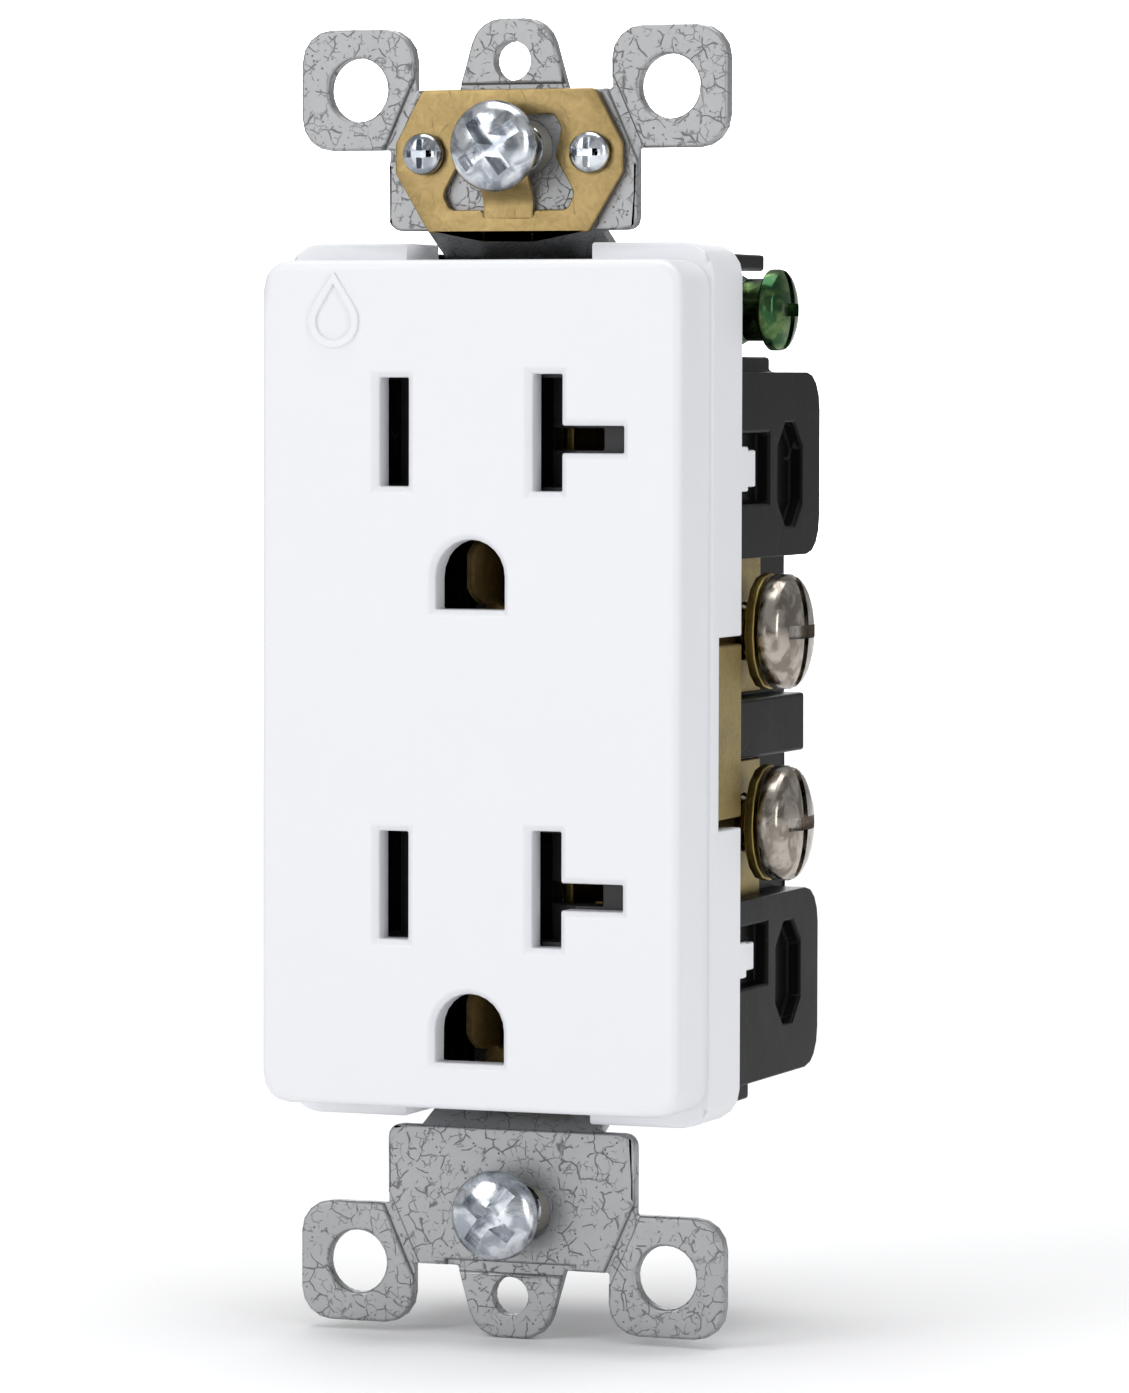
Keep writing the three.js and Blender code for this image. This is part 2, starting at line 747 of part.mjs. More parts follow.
function backBody() {
  const depth = [bodyFront, bodyBack];
  const sideView = (low, top) => outline([
    [bodyFront, low], [bodyBack, low, bodyCorner], [bodyBack, top, bodyCorner], [bodyFront, top],
  ]);
  let body = block([-innerWall, innerWall], depth, [lowerBlockLow + bodyCorner, upperBlockTop - bodyCorner])
    .add(plateYZ(sideView(upperBlockLow, upperBlockTop), [-bodyHalf, bodyHalf]))
    .add(plateYZ(sideView(lowerBlockLow, lowerBlockTop), [-bodyHalf, bodyHalf]))
    .add(block([-dividerHalf, dividerHalf], [dividerFront, dividerBack], [dividerLow, dividerTop]))
    .add(block([-headHalf, headHalf], [bodyFront, headBack], [upperBlockTop - past, shelfLow + past / 2]))
    .add(block([-shelfHalf, shelfHalf], [bodyFront, shelfBack], [shelfLow, shelfTop]))
    .add(block([-stepHalf, stepHalf], [bodyFront, stepBack], [upperBlockTop - past, stepTop]))
    .add(block([-ledgeHalf, ledgeHalf], [bodyFront, ledgeBack], [ledgeLow, lowerBlockLow + past]));
  for (const side of [-1, 1]) {
    body = body.add(gusset(side));
  }
  for (const [half, low, high] of coreStretches) {
    const bottom = low <= -coreEnd ? ledgeLow - past : low - gap;
    const along = [bottom, high >= coreEnd ? shelfTop + past : high + gap];
    body = body.subtract(block([-half - gap, half + gap], [0, coreBack + gap], along));
  }
  const barFoot = coreEnd - coreEndBar - gap;
  for (const end of [[ledgeLow - past, -barFoot], [barFoot, shelfTop + past]]) {
    body = body.subtract(block([-neckHalf - gap, neckHalf + gap], [0, coreBack + gap], end));
  }
  const rivetRoom = [coreBack, coreBack + gap + rivetHeadHeight + gap];
  for (const z of groundZ) {
    const reach = pinHoleHalf + gap;
    body = body.subtract(block([-reach, reach], [coreBack, pinPocketBack], [z - reach, z + reach]));
    for (const end of [-1, 1]) {
      body = body.subtract(rodY(rivetHead + gap, rivetRoom, 0, z + end * rivetReach, 12));
    }
  }
  for (const side of [-1, 1]) {
    body = body.subtract(conductorRoom(side)).subtract(sideRecesses(side));
  }
  const footRoom = [groundScrewZ - groundFootHalf - gap, groundScrewZ + groundFootHalf + gap];
  const screwRoom = [groundTabOuter - groundTail - clampTravelIn - gap, headHalf + past];
  body = body
    .subtract(block([groundFootIn - gap, headHalf + past], [0, contactBack + gap], footRoom))
    .subtract(rodY(rivetHead + gap, rivetRoom, groundFootRivetX, groundScrewZ, 12))
    .subtract(rodX(groundShank + gap, screwRoom, groundScrewY, groundScrewZ));
  for (const z of assemblyZ) {
    const back = z > upperBlockTop ? headBack : bodyBack;
    const seat = back - assemblySunk - assemblyHeadHeight - gap;
    body = body
      .subtract(rodY(assemblyShank + turnGap, [0, back + past], 0, z))
      .subtract(rodY(assemblyHead + gap, [seat, back + past], 0, z));
  }
  const gauge = [middleScrewZ - gaugeDrop, middleScrewZ - gaugeDrop + gaugeHeight];
  return body.subtract(block([-gaugeHalf, gaugeHalf], [bodyBack - gaugeDepth, bodyBack + past], gauge));
}

// A rib in the corner between the shelf and the head of the body.
function gusset(side) {
  const top = shelfLow + gap;
  const low = stepTop - gap;
  const rib = outline([
    [bodyFront, low], [bodyFront + gussetFoot, low], [shelfBack - gussetFoot, top], [bodyFront, top],
  ]);
  return plateYZ(rib, span(side, headHalf - gap, gussetX));
}

// Room in the body for the brass conductor on one side, with holes for the tails of its screws.
function conductorRoom(side) {
  const grip = bladeGrip / 2 + brassGauge + gap;
  const plate = span(side, plateIn - gap, plateOut + gap);
  const deep = [0, terminalBack + gap];
  let room = block(plate, deep, [upperBlockLow - past, slotZ[0] + armHalf + gap])
    .add(block(plate, deep, [slotZ[1] - armHalf - gap, lowerBlockTop + past]));
  for (const z of slotZ) {
    const across = span(side, bladeOffset - grip, plateOut + gap);
    room = room.add(block(across, [0, armFront + brassGauge + gap], [z - armHalf - gap, z + armHalf + gap]));
  }
  for (const z of terminalZ) {
    const tail = span(side, terminalTail - clampTravelIn - gap, plateIn - gap / 2);
    room = room.add(rodX(terminalShank + gap, tail, terminalY, z));
  }
  return room;
}

// Latch windows and finger grips in one side of the body.
function sideRecesses(side) {
  const grip = (middle) => {
    const [half, tall] = [(gripBack - gripFront) / 2, gripHeight / 2];
    const y = (gripFront + gripBack) / 2;
    return outline([
      [y - half, middle - tall + gripCorner], [y - half + gripCorner, middle - tall],
      [y + half - gripCorner, middle - tall], [y + half, middle - tall + gripCorner],
      [y + half, middle + tall - gripCorner], [y + half - gripCorner, middle + tall],
      [y - half + gripCorner, middle + tall], [y - half, middle + tall - gripCorner],
    ]);
  };
  const depth = span(side, bodyHalf - gripDepth, bodyHalf + past);
  let recesses = plateYZ(grip(upperBlockLow + gripRise), depth)
    .add(plateYZ(grip(lowerBlockTop - gripRise), depth));
  for (const latch of latches) {
    const high = [latch[0] - latchWindowMargin, latch[1] + latchWindowMargin];
    const window = span(side, bodyHalf - latchDepth, bodyHalf + past);
    recesses = recesses.add(block(window, [0, latchWindowBack], high));
  }
  return recesses;
}

// A brass conductor: two sets of blade contacts, two terminal plates and the break-off link between them.
function conductor(side, hasTee) {
  const x = (near, far) => span(side, near, far);
  const arm = [armFront, armFront + brassGauge];
  const inner = bladeOffset - bladeGrip / 2;
  const outer = bladeOffset + bladeGrip / 2;
  const plate = x(plateIn, plateOut);
  const link = [linkNotchFront + gap, terminalFront + brassGauge];
  let brass = block(plate, [stripFront, terminalBack], [dividerTop + gap, slotZ[0] + armHalf])
    .add(block(plate, [stripFront, terminalBack], [slotZ[1] - armHalf, dividerLow - gap]))
    .add(block(plate, [terminalFront, terminalBack], [dividerTop + gap, upperBlockLow - gap]))
    .add(block(plate, [terminalFront, terminalBack], [lowerBlockTop + gap, dividerLow - gap]))
    .add(block(x(linkOuter - brassGauge, linkOuter), link, [linkLow, linkTop]));
  for (const joint of [[linkTop - linkJoint, linkTop], [linkLow, linkLow + linkJoint]]) {
    brass = brass.add(block(x(plateIn, linkOuter), [terminalFront, terminalFront + brassGauge], joint));
  }
  for (const z of slotZ) {
    const high = [z - armHalf, z + armHalf];
    brass = brass
      .add(block(x(inner - brassGauge, plateOut), arm, high))
      .add(block(x(inner - brassGauge, inner), [leafFront, arm[1]], high))
      .add(block(x(outer, outer + brassGauge), [leafFront, arm[1]], high));
    if (hasTee) {
      const mid = z - teeArmDrop;
      const grip = [mid - bladeGrip / 2, mid + bladeGrip / 2];
      const leaf = [outer + brassGauge + gap, teeArmEnd + gap];
      brass = brass
        .subtract(block([outer - gap, outer + brassGauge + gap], [leafFront - past, armFront], grip))
        .add(block(leaf, [leafFront, arm[1]], [grip[1], grip[1] + brassGauge]))
        .add(block(leaf, [leafFront, arm[1]], [grip[0] - brassGauge, grip[0]]));
    }
  }
  const tail = x(terminalTail - clampTravelIn - gap, plateOut + gap);
  for (const z of terminalZ) {
    brass = brass.subtract(rodX(terminalShank + turnGap, tail, terminalY, z));
  }
  return brass;
}

function clampPlate(side, z) {
  const shape = rounded(clampDepth, clampHeight, clampCorner, terminalY, z);
  return plateYZ(shape, span(side, clampIn, clampOut))
    .subtract(rodX(terminalShank + turnGap, span(side, clampIn - past, clampOut + past), terminalY, z));
}

// A screw whose head looks along +X or -X, with a slot and a shorter cross slot.
function screwX(side, y, z, profile, headRadius, headOut) {
  const geometry = turned(profile.map(([radius, along]) => [radius, -along]).reverse());
  geometry.rotateZ(Math.PI / 2);
  if (side < 0) geometry.rotateZ(Math.PI);
  geometry.translate(0, y, z);
  const deep = span(side, headOut - recessDepth, headOut + past);
  const slot = headRadius + past;
  const cross = headRadius * 0.6;
  return solid(geometry)
    .subtract(block(deep, [y - recessWidth / 2, y + recessWidth / 2], [z - slot, z + slot]))
    .subtract(block(deep, [y - cross, y + cross], [z - recessWidth / 2, z + recessWidth / 2]));
}

function terminalScrew(side, z) {
  const crown = terminalHeadHeight;
  return screwX(side, terminalY, z, [
    [0, terminalTail],
    [terminalShank * 0.7, terminalTail],
    [terminalShank, terminalTail + 0.7],
    [terminalShank, terminalHeadIn],
    [terminalHead * 0.96, terminalHeadIn],
    [terminalHead, terminalHeadIn + crown * 0.2],
    [terminalHead * 0.96, terminalHeadIn + crown * 0.55],
    [terminalHead * 0.78, terminalHeadIn + crown * 0.85],
    [terminalHead * 0.4, terminalHeadOut],
    [0, terminalHeadOut],
  ], terminalHead, terminalHeadOut);
}

function groundScrew() {
  const crown = groundHeadHeight;
  const tail = groundTabOuter - groundTail;
  return screwX(1, groundScrewY, groundScrewZ, [
    [0, tail],
    [groundShank * 0.7, tail],
    [groundShank, tail + 0.7],
    [groundShank, groundCollarIn],
    [groundCollar, groundCollarIn],
    [groundCollar, groundHeadIn],
    [groundHead, groundHeadIn + crown * 0.1],
    [groundHead, groundHeadIn + crown * 0.6],
    [groundHead * 0.62, groundHeadOut],
    [0, groundHeadOut],
  ], groundHead, groundHeadOut);
}

function groundClampWasher() {
  const through = [groundWasherIn - past, groundWasherOut + past];
  return rodX(groundWasherRadius, [groundWasherIn, groundWasherOut], groundScrewY, groundScrewZ)
    .subtract(rodX(groundShank + turnGap, through, groundScrewY, groundScrewZ));
}

function groundTerminal() {
  const foot = [groundScrewZ - groundFootHalf, groundScrewZ + groundFootHalf];
  const tab = [groundScrewZ - groundTabHalf, groundScrewZ + groundTabHalf];
  const screwHole = [groundTabIn - past, groundTabOuter + past];
  const rivetHole = [contactFront - past, contactBack + past];
  return block([groundFootIn, groundTabOuter], [contactFront, contactBack], foot)
    .add(block([groundTabIn, groundTabOuter], [contactFront, groundTabBack], foot))
    .add(block([groundTabIn, groundTabOuter], [bodyFront, groundTabBack], tab))
    .subtract(rodX(groundShank + turnGap, screwHole, groundScrewY, groundScrewZ))
    .subtract(rodY(rivetShank + turnGap, rivetHole, groundFootRivetX, groundScrewZ, 12));
}

function groundContact(z) {
  const base = [contactFront, contactBack];
  let contact = block([-contactHalf, contactHalf], base, [z - contactReach, z + contactReach]);
  const leafHeight = [z - contactLeafHalf, z + contactLeafHalf];
  for (const side of [-1, 1]) {
    const leaf = span(side, pinGrip / 2, pinGrip / 2 + brassGauge);
    contact = contact.add(block(leaf, [contactLeafFront, contactBack], leafHeight));
  }
  contact = contact.subtract(block(
    [-pinGrip / 2, pinGrip / 2],
    [contactFront - past, contactBack + past],
    [z - pinHoleHalf, z + pinHoleHalf],
  ));
  for (const end of [-1, 1]) {
    const through = [contactFront - past, contactBack + past];
    contact = contact.subtract(rodY(rivetShank + turnGap, through, 0, z + end * rivetReach, 12));
  }
  return contact;
}

// A rivet through a brass base and the strap, with a head on each side.
function rivet(x, z) {
  const front = contactFront - gap;
  const back = coreBack + gap;
  return rodY(rivetShank, [front - rivetHeadHeight, back + rivetHeadHeight], x, z, 12)
    .add(rodY(rivetHead, [front - rivetHeadHeight, front], x, z, 12))
    .add(rodY(rivetHead, [back, back + rivetHeadHeight], x, z, 12));
}

// The tray that a shutter slides in: a floor with the two slots, a rim and four posts to the body.
function shutterTray(z) {
  const floor = [trayBack - trayGauge, trayBack];
  const lip = [shutterFront, trayBack];
  let tray = block([-trayHalf, trayHalf], floor, [z - trayReach, z + trayReach])
    .add(block([trayEnd, trayHalf], lip, [z - trayReach, z + trayReach]))
    .add(block([-trayHalf, -trayEnd], lip, [z - trayReach, z + trayReach]));
  for (const end of [-1, 1]) {
    const rail = span(end, shutterHalf + gap, trayReach).map((offset) => z + offset);
    tray = tray.add(block([-trayHalf, trayHalf], lip, rail));
    const post = span(end, trayReach - trayPostHeight, trayReach).map((offset) => z + offset);
    for (const side of [-1, 1]) {
      tray = tray.add(block(span(side, trayPostIn, trayPostOut), [trayBack - gap, coverBack], post));
    }
  }
  const through = [floor[0] - gap / 2, trayBack + past / 2];
  return tray
    .subtract(plateXZ(straightSlot(z, gap), through))
    .subtract(plateXZ(teeSlot(z, gap), through));
}

// The shutter: its windows stand one travel to the left of the slots, beside a ramp under each slot.
function shutter(z) {
  const depth = [shutterFront, shutterBack];
  const through = [shutterFront - past, shutterBack + past];
  const slim = (shutterWindow - slotWidth) / 2;
  const seat = [z - shutterHalf - past, z - springDrop + springRadius + gap];
  let slide = block([shutterLeft, shutterRight], depth, [z - shutterHalf, z + shutterHalf])
    .subtract(plateXZ(straightSlot(z, slim, -shutterTravel), through))
    .subtract(plateXZ(teeSlot(z, slim, -shutterTravel), through))
    .subtract(block([springSeatX, shutterRight + past], through, seat));
  for (const middle of [-bladeOffset, bladeOffset]) {
    const low = middle - shutterTravel;
    const ramp = outline([
      [low, shutterFront - past], [middle + slotWidth / 2 + gap, shutterFront - past],
      [middle + slotWidth / 2 + gap, shutterFront], [low + shutterWindow / 2, shutterFront + rampDepth],
      [low, shutterFront + rampDepth],
    ]);
    slide = slide.subtract(plateXY(ramp, [z - straightSlotHeight / 2, z + straightSlotHeight / 2]));
  }
  return slide;
}

function shutterSpring(z) {
  const middle = (shutterFront + shutterBack) / 2;
  return rodX(springRadius, [springSeatX + springRoom, trayEnd - springRoom], middle, z - springDrop, 16);
}

function assemblyScrew(z) {
  const back = z > upperBlockTop ? headBack : bodyBack;
  const seat = back - assemblySunk - assemblyHeadHeight;
  return screwY({
    x: 0,
    z,
    y: seat,
    headRadius: assemblyHead,
    headHeight: assemblyHeadHeight,
    shank: assemblyShank,
    length: seat - assemblyTip,
    flip: -1,
  });
}

// ---- Finishes ----------------------------------------------------------------------------------

const finish = (color, roughness, metalness) => ({ color, roughness, metalness });
const whitePlastic = finish(0xf0f1f3, 0.35, 0);
const blackPlastic = finish(0x17181a, 0.4, 0);
const shutterPlastic = finish(0x2b2c2e, 0.5, 0);
const zincPlate = finish(0xb4b6b8, 0.42, 0.9);
const brightZinc = finish(0xc9ced2, 0.25, 1);
const brass = finish(0xb0925a, 0.35, 1);
const nickel = finish(0xc2b8ab, 0.22, 1);
const screwBrass = finish(0xc19a4e, 0.25, 1);
const greenDye = finish(0x3f7a43, 0.3, 0.9);
const fibre = finish(0xd9d5c8, 0.8, 0);
const springSteel = finish(0x9da1a5, 0.3, 1);

// ---- Assembly ----------------------------------------------------------------------------------

const outlet = new THREE.Group();

function place(name, piece, look) {
  const { vertProperties, triVerts } = piece.getMesh();
  const geometry = new THREE.BufferGeometry();
  geometry.setAttribute('position', new THREE.BufferAttribute(vertProperties, 3));
  geometry.setIndex(new THREE.BufferAttribute(triVerts, 1));
  geometry.computeVertexNormals();
  const mesh = new THREE.Mesh(geometry, new THREE.MeshStandardMaterial(look));
  mesh.name = name;
  outlet.add(mesh);
}

place('face_cover', faceCover(), whitePlastic);
place('back_body', backBody(), blackPlastic);
place('mounting_strap', mountingStrap(), zincPlate);
place('grounding_clip', groundingClip(), brass);
place('clip_screw_left', clipScrew(-1), brightZinc);
place('clip_screw_right', clipScrew(1), brightZinc);

for (const [level, end, standoff] of [['upper', 1, upperStandoff], ['lower', -1, lowerStandoff]]) {
  place(`mounting_screw_${level}`, mountingScrew(end, standoff), brightZinc);
  place(`retaining_washer_${level}`, retainingWasher(end), fibre);
}

place('neutral_conductor', conductor(1, true), brass);
place('hot_conductor', conductor(-1, false), brass);

for (const [line, side, look] of [['neutral', 1, nickel], ['hot', -1, screwBrass]]) {
  terminalZ.forEach((z, i) => {
    const level = i === 0 ? 'upper' : 'lower';
    place(`${line}_clamp_${level}`, clampPlate(side, z), brass);
    place(`${line}_screw_${level}`, terminalScrew(side, z), look);
  });
}

place('ground_terminal', groundTerminal(), brass);
place('ground_clamp_washer', groundClampWasher(), greenDye);
place('ground_screw', groundScrew(), greenDye);
place('ground_terminal_rivet', rivet(groundFootRivetX, groundScrewZ), brass);

['upper', 'lower'].forEach((level, i) => {
  place(`ground_contact_${level}`, groundContact(groundZ[i]), brass);
  place(`ground_rivet_${level}_top`, rivet(0, groundZ[i] + rivetReach), brass);
  place(`ground_rivet_${level}_bottom`, rivet(0, groundZ[i] - rivetReach), brass);
  place(`shutter_tray_${level}`, shutterTray(slotZ[i]), blackPlastic);
  place(`shutter_${level}`, shutter(slotZ[i]), shutterPlastic);
  place(`shutter_spring_${level}`, shutterSpring(slotZ[i]), springSteel);
  place(`assembly_screw_${level}`, assemblyScrew(assemblyZ[i]), brightZinc);
});

export default outlet;
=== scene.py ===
# Duplex wall outlet on its metal mounting strap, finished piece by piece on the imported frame.

import json
from math import acos, atan2, cos, pi, radians, sin, sqrt, tan

import bmesh
import bpy
from mathutils import Matrix, Vector

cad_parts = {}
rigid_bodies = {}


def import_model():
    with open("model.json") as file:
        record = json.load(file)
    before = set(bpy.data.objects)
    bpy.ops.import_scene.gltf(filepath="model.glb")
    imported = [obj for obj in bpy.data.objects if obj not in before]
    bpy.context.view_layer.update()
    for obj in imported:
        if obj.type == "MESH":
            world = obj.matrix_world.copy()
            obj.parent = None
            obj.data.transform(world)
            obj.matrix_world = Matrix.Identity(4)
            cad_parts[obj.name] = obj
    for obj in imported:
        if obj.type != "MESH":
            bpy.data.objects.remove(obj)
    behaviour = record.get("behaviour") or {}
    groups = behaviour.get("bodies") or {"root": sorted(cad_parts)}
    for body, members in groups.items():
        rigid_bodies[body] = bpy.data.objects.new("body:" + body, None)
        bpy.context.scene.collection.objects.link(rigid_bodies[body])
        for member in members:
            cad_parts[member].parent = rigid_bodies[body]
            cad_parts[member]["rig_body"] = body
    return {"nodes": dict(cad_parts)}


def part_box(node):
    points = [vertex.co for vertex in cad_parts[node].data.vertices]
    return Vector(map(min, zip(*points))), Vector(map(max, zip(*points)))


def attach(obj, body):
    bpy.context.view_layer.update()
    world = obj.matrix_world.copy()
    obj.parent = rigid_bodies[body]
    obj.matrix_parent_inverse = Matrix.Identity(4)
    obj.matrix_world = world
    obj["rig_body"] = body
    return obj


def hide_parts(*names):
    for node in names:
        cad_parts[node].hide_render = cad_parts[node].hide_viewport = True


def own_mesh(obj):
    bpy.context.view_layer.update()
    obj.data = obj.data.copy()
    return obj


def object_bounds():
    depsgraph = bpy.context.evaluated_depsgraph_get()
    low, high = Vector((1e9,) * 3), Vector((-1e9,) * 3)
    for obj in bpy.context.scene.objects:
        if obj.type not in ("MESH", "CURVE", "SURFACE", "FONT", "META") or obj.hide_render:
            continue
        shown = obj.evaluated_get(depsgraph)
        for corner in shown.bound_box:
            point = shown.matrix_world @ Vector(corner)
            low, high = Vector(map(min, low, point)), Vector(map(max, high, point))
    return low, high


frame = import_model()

cad_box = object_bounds()
mm = 0.001


# ---- Face cover ------------------------------------------------------------------------------
# A white cover moulded in glossy nylon: a raised face with two outlets on a slightly larger
# flange. Its edges are rounded by the mould, and hooks on its back edge snap into the body.


def free_copy(*nodes):
    """Free copies of solids: doubled points joined, flat faces made whole, then split where concave."""
    mesh = bpy.data.meshes.new(nodes[0])
    shape = bmesh.new()
    for node in nodes:
        shape.from_mesh(frame["nodes"][node].data)
    bmesh.ops.remove_doubles(shape, verts=shape.verts, dist=0.002 * mm)
    bmesh.ops.dissolve_limit(
        shape, angle_limit=radians(0.6), verts=shape.verts, edges=shape.edges
    )
    bmesh.ops.connect_verts_concave(shape, faces=shape.faces)
    shape.to_mesh(mesh)
    shape.free()
    for name in ("custom_normal", "sharp_edge", "sharp_face"):
        if name in mesh.attributes:
            mesh.attributes.remove(mesh.attributes[name])
    piece = bpy.data.objects.new("shown_" + nodes[0], mesh)
    bpy.context.scene.collection.objects.link(piece)
    return piece


def round_edges(piece, radius, share=lambda a, b: 1.0, steps=3, bend=28):
    """Rounds each edge sharper than the bend by its share of the radius, in millimetres."""
    mesh = piece.data
    shape = bmesh.new()
    shape.from_mesh(mesh)
    weight = shape.edges.layers.float.new("bevel_weight_edge")
    for edge in shape.edges:
        edge.smooth = True
        if len(edge.link_faces) != 2 or edge.calc_face_angle(0) < radians(bend):
            continue
        a, b = (corner.co / mm for corner in edge.verts)
        edge[weight] = share(a, b)
        edge.smooth = edge[weight] > 0
    for face in shape.faces:
        face.smooth = True
    shape.to_mesh(mesh)
    shape.free()
    bevel = piece.modifiers.new("rounded edges", "BEVEL")
    bevel.limit_method = "WEIGHT"
    bevel.width = radius * mm
    bevel.segments = steps
    bevel.use_clamp_overlap = False
    normals = piece.modifiers.new("even shading", "WEIGHTED_NORMAL")
    normals.keep_sharp = True
    normals.weight = 60


class Value:
    """A socket that takes part in sums: each operator adds the Math node for it."""

    def __init__(self, bench, socket):
        self.bench = bench
        self.socket = socket

    def math(self, operation, *terms):
        return self.bench.node("ShaderNodeMath", {"operation": operation}, dict(enumerate(terms)))

    def __add__(self, other):
        return self.math("ADD", self, other)

    __radd__ = __add__

    def __sub__(self, other):
        return self.math("SUBTRACT", self, other)

    def __rsub__(self, other):
        return self.math("SUBTRACT", other, self)

    def __mul__(self, other):
        return self.math("MULTIPLY", self, other)

    __rmul__ = __mul__

    def __truediv__(self, other):
        return self.math("DIVIDE", self, other)

    def other(self, name):
        """Another output of the same node."""
        return Value(self.bench, self.socket.node.outputs[name])


class Bench:
    """A node tree, built through one method."""

    def __init__(self, tree):
        self.tree = tree

    def feed(self, socket, value):
        if isinstance(value, Value):
            self.tree.links.new(value.socket, socket)
        else:
            socket.default_value = value

    def node(self, kind, settings=(), sockets=(), out=0):
        made = self.tree.nodes.new(kind)
        for name, value in dict(settings).items():
            setattr(made, name, value)
        for key, value in dict(sockets).items():
            self.feed(made.inputs[key], value)
        return Value(self, made.outputs[out])


class Finish(Bench):
    """The finish of one of the outlet's materials."""

    def __init__(self, slot, **shader):
        self.slot = slot
        self.material = bpy.data.materials.new(slot)
        self.material.use_nodes = True
        super().__init__(self.material.node_tree)
        self.shader = self.tree.nodes["Principled BSDF"]
        self.set(**shader)
        self.place = self.node("ShaderNodeTexCoord", out="Object")

    def set(self, **shader):
        for name, value in shader.items():
            socket = self.shader.inputs[name.replace("_", " ")]
            self.feed(socket, (*value, 1.0) if isinstance(value, tuple) else value)

    def scaled(self, place, along):
        """A place counted in patches, whose sizes along each axis are in millimetres."""
        factors = tuple(1 / (mm * size) for size in along)
        return self.node("ShaderNodeVectorMath", {"operation": "MULTIPLY"}, {0: place, 1: factors})

    def cloud(self, size, detail=2.0, rough=0.5, twist=0.0, along=(1, 1, 1)):
        """Soft noise between 0 and 1 with patches of a size in millimetres."""
        place = self.scaled(self.place, [size * part for part in along])
        sockets = {"Vector": place, "Scale": 1.0, "Detail": detail, "Roughness": rough,
                   "Distortion": twist}
        return self.node("ShaderNodeTexNoise", sockets=sockets)

    def warped(self, amount, size):
        """Places moved about by soft noise, in metres."""
        noise = self.cloud(size).other("Color")
        centred = self.node("ShaderNodeVectorMath", {"operation": "SUBTRACT"},
                            {0: noise, 1: (0.5, 0.5, 0.5)})
        moved = self.node("ShaderNodeVectorMath", {"operation": "SCALE"},
                          {0: centred, "Scale": amount * mm})
        return self.node("ShaderNodeVectorMath", {"operation": "ADD"}, {0: self.place, 1: moved})

    def cells(self, size, feature="F1", place=None, along=(1, 1, 1)):
        """Distance in a pattern of cells: to a cell's middle, or to its border."""
        spots = self.scaled(place or self.place, [size * part for part in along])
        return self.node("ShaderNodeTexVoronoi", {"feature": feature}, {"Vector": spots, "Scale": 1.0})

    def between(self, value, low, high, to_low=0.0, to_high=1.0):
        """A smooth step of the value from low to high."""
        sockets = {"Value": value, "From Min": low, "From Max": high, "To Min": to_low,
                   "To Max": to_high}
        return self.node("ShaderNodeMapRange", {"interpolation_type": "SMOOTHSTEP"}, sockets)

    def tint(self, mask, under, over):
        """One colour over another by a mask."""
        colours = [(*c, 1.0) if isinstance(c, tuple) else c for c in (under, over)]
        sockets = {0: mask, 6: colours[0], 7: colours[1]}
        return self.node("ShaderNodeMix", {"data_type": "RGBA"}, sockets, out=2)

    def relief(self, height):
        """Raises the surface by a height in millimetres."""
        sockets = {"Strength": 1.0, "Distance": mm, "Height": height}
        self.set(Normal=self.node("ShaderNodeBump", sockets=sockets))


def settle(piece, finish, *nodes):
    """Puts a piece with its finish in the place of its nodes, on the body that carries them."""
    piece.data.materials.clear()
    piece.data.materials.append(finish.material)
    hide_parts(*nodes)
    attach(piece, frame["nodes"][nodes[0]]["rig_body"])


def glossy_white():
    finish = Finish("face_plastic", IOR=1.5)
    drift = finish.cloud(9.0, detail=3.0)
    peel = finish.cloud(0.9, detail=2.0)
    grain = finish.cloud(0.12, detail=1.0)
    finish.set(
        Base_Color=finish.tint(drift, (0.79, 0.80, 0.83), (0.81, 0.82, 0.845)),
        Roughness=0.27 + 0.08 * drift + 0.05 * grain,
    )
    finish.relief(0.006 * peel + 0.0008 * grain)
    return finish


white = glossy_white()
cover = free_copy("face_cover")
cover_low, cover_high = (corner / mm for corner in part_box("face_cover"))
drop_relief = 0.25
drop_x = -11.2
drop_foot = 25
flange_step = 6.4
flange_side_lip = 0.35
flange_end_lip = 1.4
front_rounding = 0.75
face_front = cover_low.y + drop_relief
flange_front = face_front + flange_step
face_half_width = cover_high.x - flange_side_lip
face_half_height = cover_high.z - flange_end_lip


def cover_share(a, b):
    """The front edge is rounded most; the foot of the raised face stays crisp."""
    over_side = min(abs(a.x), abs(b.x)) - face_half_width
    over_end = min(abs(a.z), abs(b.z)) - face_half_height
    on_outline = over_side > -1.5 or over_end > -1.5
    if min(a.y, b.y) < face_front - 0.05:
        return 0.12
    if max(a.y, b.y) < face_front + 0.05:
        on_drop = abs(a.x - drop_x) < 3 and a.z > drop_foot
        return 1.0 if on_outline else 0.0 if on_drop else 0.2
    if max(abs(a.y - flange_front), abs(b.y - flange_front)) < 0.05 and on_outline:
        return 0.33 if over_side > 0.1 or over_end > 0.1 else 0.0
    return 0.2


round_edges(cover, front_rounding, cover_share, steps=4)
settle(cover, white, "face_cover")


# ---- Mounting strap --------------------------------------------------------------------------
# One strap of steel, 1.3 mm thick, punched and bent, then plated with zinc. Its ears and
# centre tabs break off along scored lines, and its middle steps back behind the cover.

strap_low, strap_high = (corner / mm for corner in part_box("mounting_strap"))
tab_hole_drop = 3.33
tab_hole_rise = strap_high.z - tab_hole_drop
tab_hole_reach = 1.7
neck_top = 37.5
punched_rounding = 0.4


